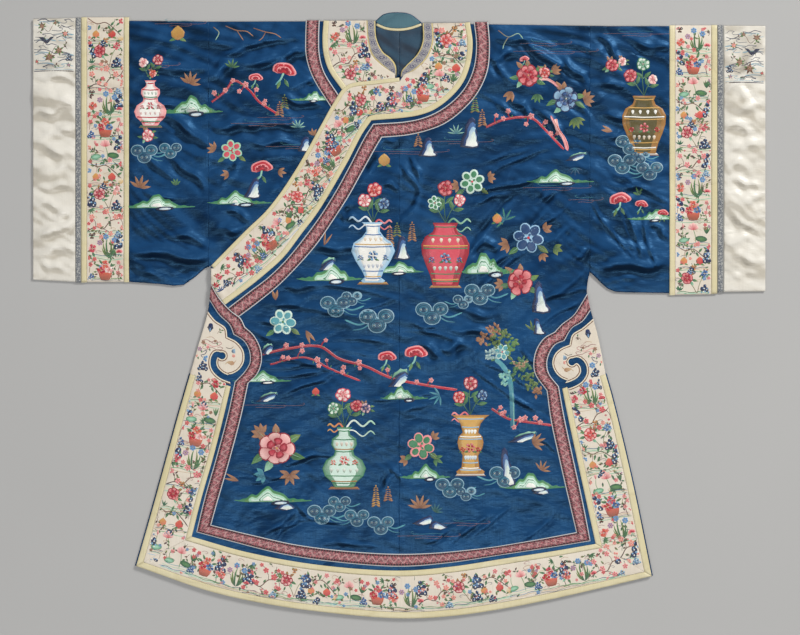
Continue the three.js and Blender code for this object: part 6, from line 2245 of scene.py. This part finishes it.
def edgeCords(work, row):
    # two couched cords along a scroll's head and round its channel
    for path, inward in ((row["facingHead"], row["toward"]), (hookCut(row), 0)):
        for away, width, tone in bands["cords"]:
            way = shifted(path, inward * away) if inward else hookCut(row, away)
            keep = insideOf(row["outline"], *way.T) & ~insideOf(row["channel"], *way.T)
            for run in np.split(way, np.flatnonzero(np.diff(keep.astype(int))) + 1):
                if len(run) > 3 and insideOf(row["outline"], *run[2]) and not insideOf(row["channel"], *run[2]):
                    seamLine(work, run, width, tone, level=1.2, taper=False)


def embroiderSlit(works, side, row):
    toward, count = row["toward"], bands["slitCount"]
    edge, facing = row["slitEdge"], row["facingEdge"]
    edgeTop = row["sideEdge"][row["sideEdge"][:, 1] < row["facingHead"][0][1] - 4]
    outer, inner = [between(edge, facing, bands[key]) for key in ("outerShare", "innerShare")]
    outline = joined(row["facingHead"], [facing[0] + (0, 4), inner[0] + (0, 4)], inner, outer[::-1],
                     edgeTop[::-1])
    work = bandWork(works, "facing_slit_" + side, outline, onOver)
    room = work["room"]
    x, y = np.meshgrid(*[room["low"][axis] + stitching["roomStep"] * np.arange(room["grid"].shape[1 - axis])
                         for axis in (0, 1)])
    room["grid"] &= ~insideOf(hookCut(row, 3.4), x, y)
    middle = between(edge, facing, bands["middleShare"], 400)
    at = np.linspace(26, 376, count).astype(int)
    fillBand(work, middle[at], [toward * 9] * count, [bands["slitWidth"]] * count, bands["slitPitch"],
             2 if toward > 0 else 5)
    embroiderScroll(work, toward)
    work["room"] = None
    edgeCords(work, row)


def embroiderCream():
    works = {}
    for side, row in sleeves.items():
        embroiderSleeveBand(works, side, row)
        embroiderCuff(works, side, row)
    embroiderCollars(works)
    embroiderHem(works)
    for side, row in sides.items():
        embroiderSlit(works, side, row)
    return works


threadCount = 0
for works in (embroiderBlue(), embroiderCream()):
    for node, work in works.items():
        row = next(r for r in clothPieces if r["piece"].name == node + "_cloth")
        verts, uvs = np.vstack(work["verts"]), np.vstack(work["uvs"])
        part = {"verts": verts, "faces": work["faces"], "uv": uvs, "shade": np.zeros(len(verts))}
        piece = makePiece("stitches_" + node, [part], "thread", np.vstack(work["colours"]))
        row["with"].append(piece)
        threadCount += len(work["faces"])
        print("embroidered", node, len(work["faces"]))
print("embroidery stitched:", threadCount, "faces")

# Floor, light and camera

stageSet = {
    "floor": colour(178, 177, 175),
    "cameraPlace": (0.0014, -0.0041, 4.0),
    "lens": 100,
    # place, target, size in metres, power in watts and tint
    "lights": {
        "keyLight": ((3.6, 4.1, 3.5), (0, 0, 0), 1.7, 330, (1, 0.995, 0.98)),
        "fillLight": ((-3.8, -2.6, 4.4), (0, 0, 0), 3.0, 70, (0.97, 0.985, 1)),
        "lowLight": ((0.1, -1.6, 5.0), (0, -0.2, 0), 1.4, 85, (1, 1, 1)),
    },
    "world": (0.97, 0.98, 1, 1),
    "worldStrength": 0.2,
}


def makeStage():
    scene = bpy.context.scene
    tree, shader = newFinish("paperFloor", stageSet["floor"], 0.9)
    place = addNode(tree, "TexCoord").outputs["Object"]
    tone = ramped(tree, stretchedNoise(tree, place, (2, 2, 2), 2), 0.3, 0.7)
    grey = stageSet["floor"]
    tree.links.new(mixColours(tree, tone, grey, [v * 1.03 for v in grey]), shader.inputs["Base Color"])
    bpy.ops.mesh.primitive_plane_add(size=16, location=(0, 0, -0.0004))
    floor = bpy.context.object
    floor.name = "floor"
    floor.data.materials.append(materials["paperFloor"])
    camera = bpy.data.cameras.new("overhead")
    camera.lens, camera.sensor_width, camera.clip_end = stageSet["lens"], 36, 50
    view = bpy.data.objects.new("overhead", camera)
    view.location = stageSet["cameraPlace"]
    scene.collection.objects.link(view)
    scene.camera = view
    for name, (place, target, size, power, tint) in stageSet["lights"].items():
        light = bpy.data.lights.new(name, "AREA")
        light.shape, light.size, light.energy, light.color = "DISK", size, power, tint
        lamp = bpy.data.objects.new(name, light)
        lamp.location = place
        lamp.rotation_euler = (Vector(target) - Vector(place)).to_track_quat("-Z", "Y").to_euler()
        scene.collection.objects.link(lamp)
    world = bpy.data.worlds.new("studio")
    world.use_nodes = True
    sky = world.node_tree.nodes["Background"]
    sky.inputs["Color"].default_value = stageSet["world"]
    sky.inputs["Strength"].default_value = stageSet["worldStrength"]
    scene.world = world
    scene.view_settings.view_transform = "Standard"


makeStage()
print("stage set")
